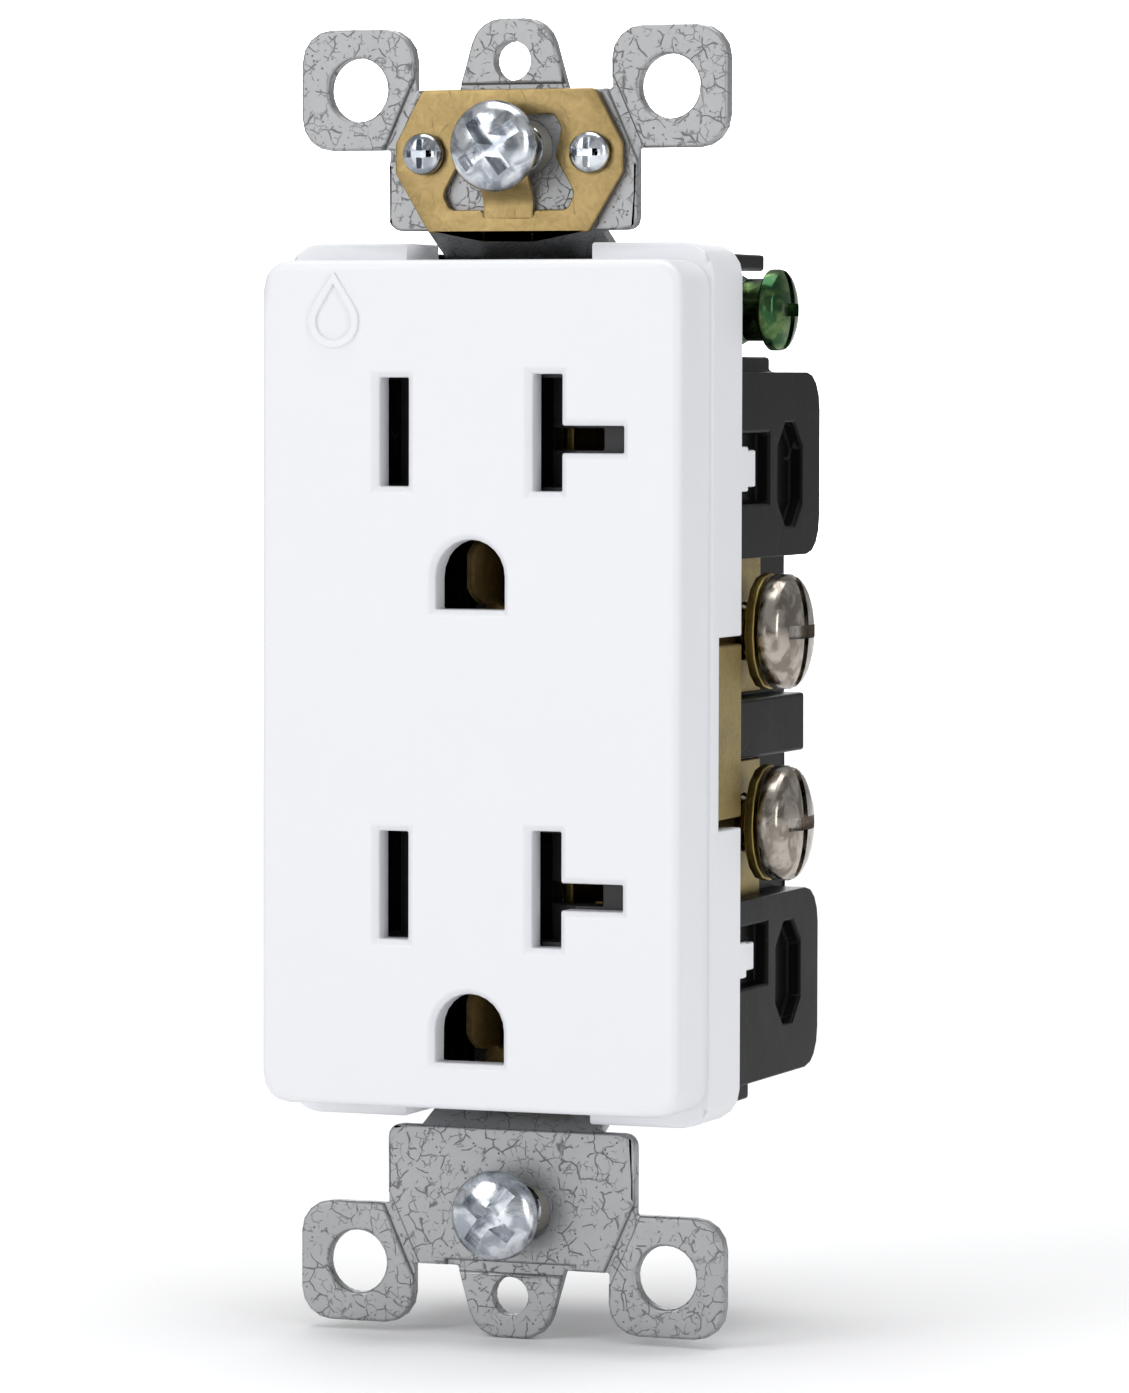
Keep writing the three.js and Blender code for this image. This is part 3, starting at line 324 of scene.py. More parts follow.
def plated_strap_finish():
    finish = Finish("strap_zinc", Metallic=0.92)
    drift = finish.cloud(6.0, detail=4.0)
    border = finish.cells(1.7, "DISTANCE_TO_EDGE", finish.warped(1.2, 1.8))
    arcs = (1 - finish.between(border, 0.01, 0.04)) * finish.between(finish.cloud(1.1), 0.44, 0.54)
    fine_border = finish.cells(0.75, "DISTANCE_TO_EDGE", finish.warped(0.7, 0.9))
    fine_arcs = 1 - finish.between(fine_border, 0.015, 0.06)
    fine_arcs = fine_arcs * finish.between(finish.cloud(0.8), 0.5, 0.58)
    pits = 1 - finish.between(finish.cells(0.62), 0.10, 0.18)
    pits = pits * finish.between(finish.cloud(1.5), 0.44, 0.52)
    rolled = finish.cloud(0.35, detail=2.0, along=(1, 1, 14))
    grain = finish.cloud(0.1)
    marks = finish.node("ShaderNodeMath", {"operation": "MAXIMUM"}, {0: arcs, 1: fine_arcs * 0.7})
    marks = finish.node("ShaderNodeMath", {"operation": "MAXIMUM"}, {0: marks, 1: pits})
    plain = finish.tint(drift, (0.33, 0.335, 0.34), (0.43, 0.435, 0.44))
    finish.set(
        Base_Color=finish.tint(marks * 0.75, plain, (0.15, 0.15, 0.155)),
        Roughness=0.36 + 0.12 * drift + 0.05 * rolled + 0.2 * marks,
    )
    finish.relief(0.004 * rolled + 0.0015 * grain - 0.02 * marks + 0.01 * drift)
    return finish


zinc = plated_strap_finish()
strap = free_copy("mounting_strap")


def strap_share(a, b):
    """Punched edges are rounded most, bends a little less, tapped holes least and scores not at all."""
    scored = max(a.y, b.y) < -0.05 and max(a.y, b.y) > strap_low.y + 0.1
    if abs(a.x) < tab_hole_reach and abs(abs(a.z) - tab_hole_rise) < tab_hole_reach:
        return 0.22
    if scored:
        return 0.0
    across = abs(a.x - b.x) > 8 and abs(a.z - b.z) < 0.1
    return 0.5 if across and abs(a.z) < neck_top else 0.62


round_edges(strap, punched_rounding, strap_share)
settle(strap, zinc, "mounting_strap")


# ---- Self-grounding clip ---------------------------------------------------------------------
# A thin plate of spring brass on the front of the strap. Its window leaves a tongue that is
# bent forward until its end bears on the shank of the upper mounting screw.


def rounded_outline(corners, flats=7):
    """Points through corners (a, b, radius) in order, each corner turned by an arc."""
    points = []
    for i, (a, b, radius) in enumerate(corners):
        corner = Vector((a, b))
        if radius == 0:
            points.append(corner)
            continue
        back = (Vector(corners[i - 1][:2]) - corner).normalized()
        on = (Vector(corners[(i + 1) % len(corners)][:2]) - corner).normalized()
        half = acos(max(-1, min(1, back.dot(on)))) / 2
        centre = corner + (back + on).normalized() * radius / sin(half)
        start = corner + back * radius / tan(half) - centre
        end = corner + on * radius / tan(half) - centre
        turn = atan2(start.x * end.y - start.y * end.x, start.dot(end))
        for step in range(flats + 1):
            angle = turn * step / flats
            spoke = Vector((start.x * cos(angle) - start.y * sin(angle),
                            start.x * sin(angle) + start.y * cos(angle)))
            points.append(centre + spoke)
    return points


def ring(a, b, radius, flats=28):
    return [Vector((a + radius * cos(2 * pi * i / flats), b + radius * sin(2 * pi * i / flats)))
            for i in range(flats)]


def punched_sheet(name, outlines, gauge, edge=0.12):
    """A flat sheet in its own X and Y, with its holes and softly rounded edges."""
    curve = bpy.data.curves.new(name, "CURVE")
    curve.dimensions = "2D"
    curve.fill_mode = "BOTH"
    curve.extrude = (gauge / 2 - edge) * mm
    curve.bevel_depth = edge * mm
    curve.bevel_resolution = 2
    curve.offset = -edge * mm
    for points in outlines:
        spline = curve.splines.new("POLY")
        spline.points.add(len(points) - 1)
        for place, point in zip(spline.points, points):
            place.co = (point.x * mm, point.y * mm, 0, 1)
        spline.use_cyclic_u = True
    return plain_mesh(bpy.data.objects.new(name, curve))


def plain_mesh(drawn):
    """The finished mesh of a drawn object, as a new object at the origin."""
    bpy.context.scene.collection.objects.link(drawn)
    bpy.context.view_layer.update()
    evaluated = drawn.evaluated_get(bpy.context.evaluated_depsgraph_get())
    mesh = bpy.data.meshes.new_from_object(evaluated)
    name = drawn.name
    bpy.data.objects.remove(drawn)
    shape = bmesh.new()
    shape.from_mesh(mesh)
    bmesh.ops.remove_doubles(shape, verts=shape.verts, dist=0.001 * mm)
    bmesh.ops.recalc_face_normals(shape, faces=shape.faces)
    for face in shape.faces:
        face.smooth = True
    shape.to_mesh(mesh)
    shape.free()
    mesh.name = name
    mesh.set_sharp_from_angle(angle=radians(38))
    piece = bpy.data.objects.new(name, mesh)
    bpy.context.scene.collection.objects.link(piece)
    return piece


def bent_strip(name, route, reach, gauge, columns=14):
    """A strip that follows a route of (a, b) points in the plane of bending.

    reach gives its two side limits at a share of the route. The strip's own X runs along a,
    Y along b and Z across it.
    """
    mesh = bpy.data.meshes.new(name)
    shape = bmesh.new()
    rows = []
    for i, (a, b) in enumerate(route):
        near, far = reach(i / (len(route) - 1), a, b)
        places = [near + (far - near) * step / columns for step in range(columns + 1)]
        rows.append([shape.verts.new((a * mm, b * mm, c * mm)) for c in places])
    for low, high in zip(rows, rows[1:]):
        for i in range(columns):
            shape.faces.new((low[i], low[i + 1], high[i + 1], high[i]))
    shape.to_mesh(mesh)
    shape.free()
    strip = bpy.data.objects.new(name, mesh)
    wall = strip.modifiers.new("gauge", "SOLIDIFY")
    wall.thickness = gauge * mm
    wall.offset = 0
    edges = strip.modifiers.new("edges", "BEVEL")
    edges.width = 0.1 * mm
    edges.segments = 2
    edges.limit_method = "ANGLE"
    edges.angle_limit = radians(50)
    return plain_mesh(strip)


def joined(first, *others):
    """One piece from several that touch."""
    with bpy.context.temp_override(active_object=first, selected_editable_objects=[first, *others]):
        bpy.ops.object.join()
    return first


def turned_to(piece, x_axis, y_axis, z_axis, origin):
    """Lays the piece's own axes along three directions, from an origin in millimetres."""
    place = Matrix((x_axis, y_axis, z_axis)).transposed().to_4x4()
    place.translation = Vector(origin) * mm
    piece.data.transform(place)


def satin_brass(slot, pale, deep, roughness=0.3):
    finish = Finish(slot, Metallic=1.0)
    drift = finish.cloud(5.0, detail=4.0, twist=0.8)
    swirl = finish.cloud(1.2, detail=5.0, rough=0.65, twist=2.2)
    brushed = finish.cloud(0.25, detail=3.0, along=(1, 9, 9))
    lines = finish.cells(3.0, "DISTANCE_TO_EDGE", finish.warped(2.4, 4.0), (1, 1, 3))
    scratch = 1 - finish.between(lines, 0.0, 0.012)
    scratch = scratch * finish.between(finish.cloud(2.0), 0.5, 0.58)
    spots = 1 - finish.between(finish.cells(1.3), 0.04, 0.1)
    spots = spots * finish.between(finish.cloud(2.6), 0.55, 0.6)
    colour = finish.tint(finish.between(swirl * 0.5 + drift * 0.5, 0.3, 0.7), deep, pale)
    colour = finish.tint(spots * 0.6, colour, tuple(0.35 * part for part in deep))
    finish.set(
        Base_Color=colour,
        Roughness=roughness + 0.16 * drift + 0.06 * brushed + 0.15 * scratch,
    )
    finish.relief(0.004 * brushed + 0.022 * swirl - 0.01 * scratch)
    return finish


clip_brass = satin_brass("clip_brass", (0.43, 0.315, 0.14), (0.28, 0.20, 0.085), 0.25)
clip_low, clip_high = (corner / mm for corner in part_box("grounding_clip"))
clip_gauge = clip_high.y - clip_low.y
clip_drop = 0.17
clip_foot = clip_low.z + clip_drop
screw_centre = sum(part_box("mounting_screw_upper"), Vector()) / 2 / mm
clip_screw_centre = sum(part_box("clip_screw_right"), Vector()) / 2 / mm
shank_radius = 1.75
shank_room = 0.25
clip_screw_hole = 1.15
tongue_half = 2.1
tongue_forward = 1.35
tongue_flare = 0.35
tongue_straight = 3.2
tongue_end = screw_centre.z - 0.4

right_edge = [
    (6.7, clip_low.z, 0.5), (clip_high.x, clip_foot + 4.48, 0.6),
    (clip_high.x, clip_foot + 6.78, 0.6), (7.25, clip_high.z, 0.6),
]
right_window = [
    (tongue_half, clip_foot + 1.6, 0.35), (4.9, clip_foot + 1.6, 0.6), (5.5, clip_foot + 2.9, 0.9),
    (3.9, clip_foot + 5.7, 0.9), (4.4, clip_foot + 7.9, 0.7), (3.8, clip_foot + 9, 0.5),
]
left = [(-x, z, radius) for x, z, radius in reversed(right_edge)]
left_window = [(-x, z, radius) for x, z, radius in reversed(right_window)]
notch = (tongue_half, clip_foot + 1.0, 0.3)
window = [*right_window, *left_window, (-notch[0], notch[1], notch[2]), notch]
clip_outlines = [rounded_outline([*right_edge, *left]), rounded_outline(window)]
for side in (-1, 1):
    clip_outlines.append(ring(side * clip_screw_centre.x, clip_screw_centre.z, clip_screw_hole))
clip = punched_sheet("shown_grounding_clip", clip_outlines, clip_gauge)
clip_middle = (clip_low.y + clip_high.y) / 2
turned_to(clip, (1, 0, 0), (0, 0, 1), (0, -1, 0), (0, clip_middle, 0))


def tongue_route():
    """From the foot of the plate up, forward through two easy bends, and up to the shank."""
    route = []
    foot = clip_foot + 0.8
    for step in range(19):
        share = step / 18
        lean = max(0.0, min(1.0, (share - 0.22) / 0.5))
        forward = tongue_forward * lean * lean * (3 - 2 * lean)
        flare = tongue_flare * max(0.0, (share - 0.86) / 0.14) ** 2
        route.append((clip_middle - forward - flare, foot + (tongue_end - foot) * share))
    return route


tongue = bent_strip(
    "tongue", tongue_route(), lambda share, a, b: (-tongue_half, tongue_half), clip_gauge * 0.92
)
turned_to(tongue, (0, 1, 0), (0, 0, 1), (1, 0, 0), (0, 0, 0))
straight_end = clip_foot + tongue_straight
for point in tongue.data.vertices:
    over = point.co.z / mm - straight_end
    if over > 0:
        reach = sqrt(max(0.0, (shank_radius + shank_room) ** 2 - (point.co.x / mm) ** 2))
        top = screw_centre.z - reach
        share = over / (tongue_end - straight_end)
        point.co.z = (straight_end + share * (top - straight_end)) * mm
settle(clip, clip_brass, "grounding_clip")
tongue.name = "shown_clip_tongue"
settle(tongue, clip_brass, "grounding_clip")
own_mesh(tongue)


# ---- Screws ----------------------------------------------------------------------------------
# Headed from steel wire with rolled threads: a domed head with a driving recess over a
# threaded shank. Each is turned about its own Z, head up, and then laid along its hole.


def finished(bench, shape, material):
    """Ends a tree: its shape, made real, takes its material."""
    shape = bench.node("GeometryNodeRealizeInstances", sockets={"Geometry": shape})
    shape = bench.node("GeometryNodeSetMaterial", sockets={"Geometry": shape, "Material": material})
    sink = bench.tree.nodes.new("NodeGroupOutput")
    bench.feed(sink.inputs[0], shape)
    return bench.tree


def turned_tree(driven):
    """Turns a profile of (radius, height) points about Z; a driven one is threaded and recessed."""
    tree = bpy.data.node_groups.new("turned screw", "GeometryNodeTree")
    bench = Bench(tree)
    names = {"Profile": "NodeSocketGeometry", "Points": "NodeSocketInt", "Steps": "NodeSocketInt",
             "Material": "NodeSocketMaterial"}
    if driven:
        sizes = ("Core", "Ridge", "Pitch", "Thread Top", "Thread Foot", "Slot Width", "Slot Length",
                 "Slot Depth", "Cross Length", "Cross Depth")
        names |= dict.fromkeys(sizes, "NodeSocketFloat")
    for name, kind in names.items():
        tree.interface.new_socket(name, in_out="INPUT", socket_type=kind)
    tree.interface.new_socket("Screw", in_out="OUTPUT", socket_type="NodeSocketGeometry")
    source = bench.node("NodeGroupInput")
    given = {name: source.other(name) for name in names}

    grid = bench.node("GeometryNodeMeshGrid", sockets={
        "Size X": 1.0, "Size Y": 1.0, "Vertices X": given["Steps"], "Vertices Y": given["Points"],
    })
    place = bench.node("ShaderNodeSeparateXYZ", sockets={0: bench.node("GeometryNodeInputPosition")})
    row = bench.node("ShaderNodeMath", {"operation": "ROUND"},
                     {0: (place.other("Y") + 0.5) * (given["Points"] - 1)})
    profile = bench.node(
        "GeometryNodeSampleIndex",
        {"data_type": "FLOAT_VECTOR", "domain": "POINT"},
        {"Geometry": given["Profile"], 1: bench.node("GeometryNodeInputPosition"), "Index": row},
    )
    radius = bench.node("ShaderNodeSeparateXYZ", sockets={0: profile})
    angle = place * (2 * pi)
    turned = bench.node("ShaderNodeCombineXYZ", sockets={
        0: radius * bench.node("ShaderNodeMath", {"operation": "COSINE"}, {0: angle}),
        1: radius * bench.node("ShaderNodeMath", {"operation": "SINE"}, {0: angle}),
        2: radius.other("Z"),
    })
    shape = bench.node("GeometryNodeSetPosition", sockets={"Geometry": grid, "Position": turned})
    shape = bench.node("GeometryNodeMergeByDistance", sockets={"Geometry": shape, "Distance": 0.002 * mm})
    if driven:
        for along, across, deep in (
            ("Slot Length", "Slot Width", "Slot Depth"),
            ("Slot Width", "Cross Length", "Cross Depth"),
            ("Cross Length", "Slot Width", "Cross Depth"),
        ):
            size = bench.node("ShaderNodeCombineXYZ", sockets={
                0: given[along], 1: given[across], 2: given[deep] * 2,
            })
            cutter = bench.node("GeometryNodeMeshCube", sockets={"Size": size})
            operation = {"operation": "DIFFERENCE", "solver": "EXACT"}
            shape = bench.node("GeometryNodeMeshBoolean", operation, {0: shape, 1: cutter})
        height = given["Thread Top"] - given["Thread Foot"]
        helix = bench.node("GeometryNodeCurveSpiral", sockets={
            "Resolution": 24, "Rotations": height / given["Pitch"], "Start Radius": given["Core"],
            "End Radius": given["Core"], "Height": height,
        })
        foot = bench.node("ShaderNodeCombineXYZ", sockets={2: given["Thread Foot"]})
        helix = bench.node("GeometryNodeTransform", sockets={"Geometry": helix, "Translation": foot})
        wedge = bench.node("GeometryNodeCurvePrimitiveCircle", sockets={
            "Resolution": 4, "Radius": given["Ridge"],
        })
        thread = bench.node("GeometryNodeCurveToMesh", sockets={
            "Curve": helix, "Profile Curve": wedge, "Fill Caps": True,
        })
        both = bench.node("GeometryNodeJoinGeometry")
        bench.feed(both.socket.node.inputs[0], shape)
        bench.feed(both.socket.node.inputs[0], thread)
        shape = both
    return finished(bench, shape, given["Material"])


def made_from(tree, name, start, sizes):
    """The plain mesh that a tree makes from a start mesh and its named sizes."""
    drawn = bpy.data.objects.new(name, start)
    maker = drawn.modifiers.new("maker", "NODES")
    maker.node_group = tree
    for item in tree.interface.items_tree:
        if item.in_out == "INPUT" and item.name in sizes:
            maker[item.identifier] = sizes[item.name]
    return plain_mesh(drawn)


def head_profile(radius, height, rim, core, length, collar=None):
    """Points of (radius, height) down a domed head, its collar and its shank."""
    dome = height - rim
    turns = [step / 9 * pi / 2 for step in range(10)]
    points = [(radius * sin(turn) * 0.99, -dome * (1 - cos(turn))) for turn in turns]
    points += [(radius, -dome - 0.06), (radius, -height + 0.12), (radius - 0.1, -height)]
    foot = -height
    if collar:
        wide, tall = collar
        points += [(wide + 0.35, -height), (wide + 0.1, -height - 0.12), (wide, -height - 0.4)]
        foot = -height - tall
        points += [(wide, foot + 0.1), (wide - 0.1, foot)]
    points += [(core, foot), (core, -length + 0.6), (core * 0.6, -length), (0, -length)]
    return points


def profile_mesh(points):
    mesh = bpy.data.meshes.new("profile")
    edges = [(i, i + 1) for i in range(len(points) - 1)]
    mesh.from_pydata([(radius * mm, 0, height * mm) for radius, height in points], edges, [])
    return mesh


threaded_screw = turned_tree(driven=True)
thread_ridge = 0.3


def screw(node, finish, facing, head, height, rim, shank, recess, turn=0.0, pitch=0.794, collar=None):
    """A screw in the place of its node, with its head towards facing."""
    low, high = (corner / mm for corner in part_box(node))
    centre = (low + high) / 2
    axis = Vector(facing)
    lead = max(range(3), key=lambda i: abs(axis[i]))
    length = high[lead] - low[lead]
    top = Vector(centre)
    top[lead] = high[lead] if axis[lead] > 0 else low[lead]
    core = shank - thread_ridge
    foot = height + (collar[1] if collar else 0)
    points = head_profile(head, height, rim, core, length, collar)
    slot_width, slot_length, slot_depth, cross_length, cross_depth = recess
    piece = made_from(threaded_screw, "shown_" + node, profile_mesh(points), {
        "Points": len(points), "Steps": 65, "Material": finish.material,
        "Core": core * mm, "Ridge": thread_ridge * mm, "Pitch": pitch * mm,
        "Thread Top": (-foot - 0.3) * mm, "Thread Foot": (-length + 0.7) * mm,
        "Slot Width": slot_width * mm, "Slot Length": slot_length * mm, "Slot Depth": slot_depth * mm,
        "Cross Length": cross_length * mm, "Cross Depth": cross_depth * mm,
    })
    piece.data.transform(Matrix.Rotation(radians(turn), 4, "Z"))
    across = Vector((0, 0, 1)).cross(axis)
    turned_to(piece, across, axis.cross(across), axis, top)
    settle(piece, finish, node)


def plate_with_painted_reflection(slot, pale, deep, roughness=0.18):
    """Plated or dyed steel: bright, with painted reflections as soft patches between a pale and a deep
    tint, and fine tool marks.
    """
    finish = Finish(slot, Metallic=1.0)
    drift = finish.between(finish.cloud(1.9, detail=3.0, twist=1.2), 0.38, 0.62)
    grain = finish.cloud(0.16, detail=2.0)
    stains = finish.between(finish.cloud(0.9, detail=4.0), 0.55, 0.75)
    # Painted reflection: the drift mask swaps the plate between its pale and its deep tint, standing in
    # for bright and dark surroundings seen in the metal.
    colour = finish.tint(drift, deep, pale)
    finish.set(
        Base_Color=finish.tint(stains * 0.35, colour, tuple(0.5 * part for part in deep)),
        Roughness=roughness + 0.1 * drift + 0.1 * stains,
    )
    finish.relief(0.004 * grain + 0.004 * stains)
    return finish


bright_zinc = plate_with_painted_reflection("screw_zinc", (0.74, 0.77, 0.81), (0.34, 0.37, 0.41), 0.12)
phillips = (0.55, 2.3, 0.7, 2.3, 0.7)
for side in ("left", "right"):
    screw(f"clip_screw_{side}", bright_zinc, (0, -1, 0), 1.65, 1.1, 0.35, 0.9, phillips, pitch=0.45)
combination = (1.2, 5.4, 1.5, 4.8, 1.9)
screw("mounting_screw_upper", bright_zinc, (0, -1, 0), 3.55, 2.0, 0.45, 1.75, combination, 35)
screw("mounting_screw_lower", bright_zinc, (0, -1, 0), 3.55, 2.0, 0.45, 1.75, combination, 52)
deep_phillips = (0.85, 3.4, 1.1, 3.4, 1.1)
for level in ("upper", "lower"):
    screw(f"assembly_screw_{level}", bright_zinc, (0, 1, 0), 2.6, 1.8, 0.5, 1.4, deep_phillips)


# ---- Retaining washers -----------------------------------------------------------------------
# Square washers of grey fibre board. They grip the thread behind the strap, so that the
# mounting screws stay in it before the outlet is put up.


def fibre_board():
    finish = Finish("washer_fibre")
    strands = finish.cloud(0.3, detail=4.0, rough=0.7, along=(5, 1, 1))
    fuzz = finish.cloud(0.15, detail=3.0)
    finish.set(
        Base_Color=finish.tint(strands, (0.52, 0.49, 0.42), (0.70, 0.67, 0.59)),
        Roughness=0.78 + 0.15 * fuzz,
    )
    finish.relief(0.03 * strands + 0.01 * fuzz)
    return finish


fibre = fibre_board()
for level in ("upper", "lower"):
    washer = free_copy(f"retaining_washer_{level}")
    round_edges(washer, 0.12, steps=2)
    settle(washer, fibre, f"retaining_washer_{level}")


# ---- Back body -------------------------------------------------------------------------------
# The back body is moulded in black glass-filled nylon. Two blocks hold the brass, with finger
# grips and latch windows in their sides, and recesses between them take the terminals.


def black_nylon(slot, roughness):
    finish = Finish(slot, IOR=1.16)
    drift = finish.cloud(7.0, detail=3.0)
    grain = finish.cloud(0.13, detail=3.0)
    flow = finish.cloud(0.5, detail=3.0, twist=1.5, along=(1, 1, 7))
    bent = finish.warped(5.0, 9.0)
    lines = 1 - finish.between(finish.cells(6.5, "DISTANCE_TO_EDGE", bent), 0.0, 0.012)
    scuffs = lines * finish.between(finish.cloud(2.2), 0.48, 0.6)
    plain = finish.tint(drift, (0.003, 0.003, 0.0035), (0.006, 0.006, 0.0065))
    finish.set(
        Base_Color=finish.tint(scuffs * 0.5, plain, (0.05, 0.05, 0.052)),
        Roughness=roughness + 0.1 * drift + 0.06 * flow + 0.12 * scuffs,
    )
    finish.relief(0.004 * grain + 0.006 * flow - 0.01 * scuffs)
    return finish


body_black = black_nylon("body_plastic", 0.30)
body = free_copy("back_body")
body_high_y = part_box("back_body")[1].y / mm


def body_share(a, b):
    """The back edges are rounded less than the rest."""
    return 0.5 if min(a.y, b.y) > body_high_y - 3.5 else 1.0


round_edges(body, 0.28, body_share)
settle(body, body_black, "back_body")


# ---- Shutter trays and shutters --------------------------------------------------------------
# Behind the slots a black tray carries a sliding shutter of dark acetal. The blades of a plug
# press on its two ramps together and push it aside, against a coil spring.

for level in ("upper", "lower"):
    tray = free_copy(f"shutter_tray_{level}")
    round_edges(tray, 0.12, steps=2)
    settle(tray, body_black, f"shutter_tray_{level}")


def dark_acetal():
    finish = Finish("shutter_plastic", IOR=1.48)
    drift = finish.cloud(3.0, detail=3.0)
    grain = finish.cloud(0.2, detail=2.0)
    finish.set(
        Base_Color=finish.tint(drift, (0.022, 0.022, 0.024), (0.036, 0.036, 0.039)),
        Roughness=0.42 + 0.1 * drift,
    )
    finish.relief(0.006 * grain)
    return finish


acetal = dark_acetal()
for level in ("upper", "lower"):
    shutter = free_copy(f"shutter_{level}")
    round_edges(shutter, 0.16, steps=2)
    settle(shutter, acetal, f"shutter_{level}")


def coil_tree():
    """A coil of round wire along Z, with its ends closed."""
    tree = bpy.data.node_groups.new("coil", "GeometryNodeTree")
    bench = Bench(tree)
    kinds = {"Start": "Geometry", "Radius": "Float", "Wire": "Float", "Length": "Float",
             "Turns": "Float", "Material": "Material"}
    for name, kind in kinds.items():
        tree.interface.new_socket(name, in_out="INPUT", socket_type="NodeSocket" + kind)
    tree.interface.new_socket("Coil", in_out="OUTPUT", socket_type="NodeSocketGeometry")
    source = bench.node("NodeGroupInput")
    given = {name: source.other(name) for name in kinds}
    helix = bench.node("GeometryNodeCurveSpiral", sockets={
        "Resolution": 20, "Rotations": given["Turns"], "Start Radius": given["Radius"],
        "End Radius": given["Radius"], "Height": given["Length"],
    })
    wire = bench.node("GeometryNodeCurvePrimitiveCircle", sockets={
        "Resolution": 8, "Radius": given["Wire"],
    })
    shape = bench.node("GeometryNodeCurveToMesh", sockets={
        "Curve": helix, "Profile Curve": wire, "Fill Caps": True,
    })
    return finished(bench, shape, given["Material"])


spring_steel = plate_with_painted_reflection("spring_steel", (0.58, 0.60, 0.62), (0.42, 0.44, 0.46), 0.22)
coil = coil_tree()
wire_radius = 0.14
for level in ("upper", "lower"):
    low, high = (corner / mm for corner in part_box(f"shutter_spring_{level}"))
    centre = (low + high) / 2
    spring = made_from(coil, f"shown_shutter_spring_{level}", bpy.data.meshes.new("start"), {
        "Radius": ((high.z - low.z) / 2 - wire_radius) * mm, "Wire": wire_radius * mm,
        "Length": (high.x - low.x - 2 * wire_radius) * mm, "Turns": 7.0,
        "Material": spring_steel.material,
    })
    turned_to(spring, (0, 0, -1), (0, 1, 0), (1, 0, 0), (low.x + wire_radius, centre.y, centre.z))
    settle(spring, spring_steel, f"shutter_spring_{level}")
    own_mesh(spring)


# ---- Brass conductors and clamp plates -------------------------------------------------------
# Each side has one piece of brass strip, blanked and folded: two pairs of blade contacts and
# two terminal plates, joined by a link that snaps off. A clamp plate rides under each screw.

conductor_brass = satin_brass("conductor_brass", (0.36, 0.27, 0.085), (0.22, 0.16, 0.045), 0.26)
for line in ("neutral", "hot"):
    conductor = free_copy(f"{line}_conductor")
    round_edges(conductor, 0.16)
    settle(conductor, conductor_brass, f"{line}_conductor")
    for level in ("upper", "lower"):
        clamp = free_copy(f"{line}_clamp_{level}")
        round_edges(clamp, 0.14, steps=2)
        settle(clamp, conductor_brass, f"{line}_clamp_{level}")


# ---- Terminal screws -------------------------------------------------------------------------
# Binding-head screws of steel: nickel-plated on the neutral side and brass-plated on the hot
# side. A full slot is crossed by a shorter one.

nickel = plate_with_painted_reflection("screw_nickel", (0.46, 0.415, 0.365), (0.22, 0.19, 0.16), 0.13)
brass_plate = plate_with_painted_reflection("screw_brass", (0.70, 0.50, 0.20), (0.52, 0.36, 0.13), 0.16)
binding = (1.05, 12.0, 1.0, 6.2, 1.0)
for line, finish, side in (("neutral", nickel, 1), ("hot", brass_plate, -1)):
    for level in ("upper", "lower"):
        screw(f"{line}_screw_{level}", finish, (side, 0, 0), 4.55, 2.6, 1.25, 2.08, binding, 90)


# ---- Ground terminal -------------------------------------------------------------------------
# A brass angle is riveted to the strap's end. Its green-dyed steel screw clamps the bare wire
# under a washer of the same colour.

bracket = free_copy("ground_terminal")
round_edges(bracket, 0.16, steps=2)
settle(bracket, conductor_brass, "ground_terminal")
green = plate_with_painted_reflection("ground_green", (0.13, 0.21, 0.075), (0.03, 0.085, 0.035), 0.17)
green_recess = (1.0, 9.0, 0.8, 3.9, 0.8)
screw("ground_screw", green, (1, 0, 0), 3.2, 1.85, 0.85, 1.9, green_recess, 90, collar=(2.45, 1.9))
pressure = free_copy("ground_clamp_washer")
round_edges(pressure, 0.14, steps=2)
settle(pressure, green, "ground_clamp_washer")


# ---- Ground contacts and rivets --------------------------------------------------------------
# Behind each ground hole a brass base is riveted to the strap. Two leaves stand up from it to
# grip the round pin, with rounded corners and lips that flare to lead the pin in.

leaf_gauge = 0.7
lip = 1.5
# Painted light: a paler, half-metallic copy of the conductor brass, so that the contacts deep behind the
# ground holes look lit.
conductor_brass_painted_lit = satin_brass("conductor_brass", (0.80, 0.58, 0.24), (0.62, 0.43, 0.15), 0.34)
conductor_brass_painted_lit.set(Metallic=0.5)
leaf_corner = 2.1
half_leaf = 2.6
base_gauge = 0.8
base_corner = 0.6
grip = 2.45
pin_hole_half = 2.8
rivet_rise = 4.2
rivet_hole = 1.02


def leaf_route(side, low, high):
    """From the base forward, with a lip that flares outward at the end."""
    route = []
    for step in range(21):
        depth = high.y - 0.1 - (high.y - 0.1 - low.y - 0.15) * step / 20
        into_lip = max(0.0, (low.y + lip - depth) / lip)
        route.append((side * (grip + leaf_gauge / 2 + 0.45 * into_lip ** 1.6), depth))
    return route


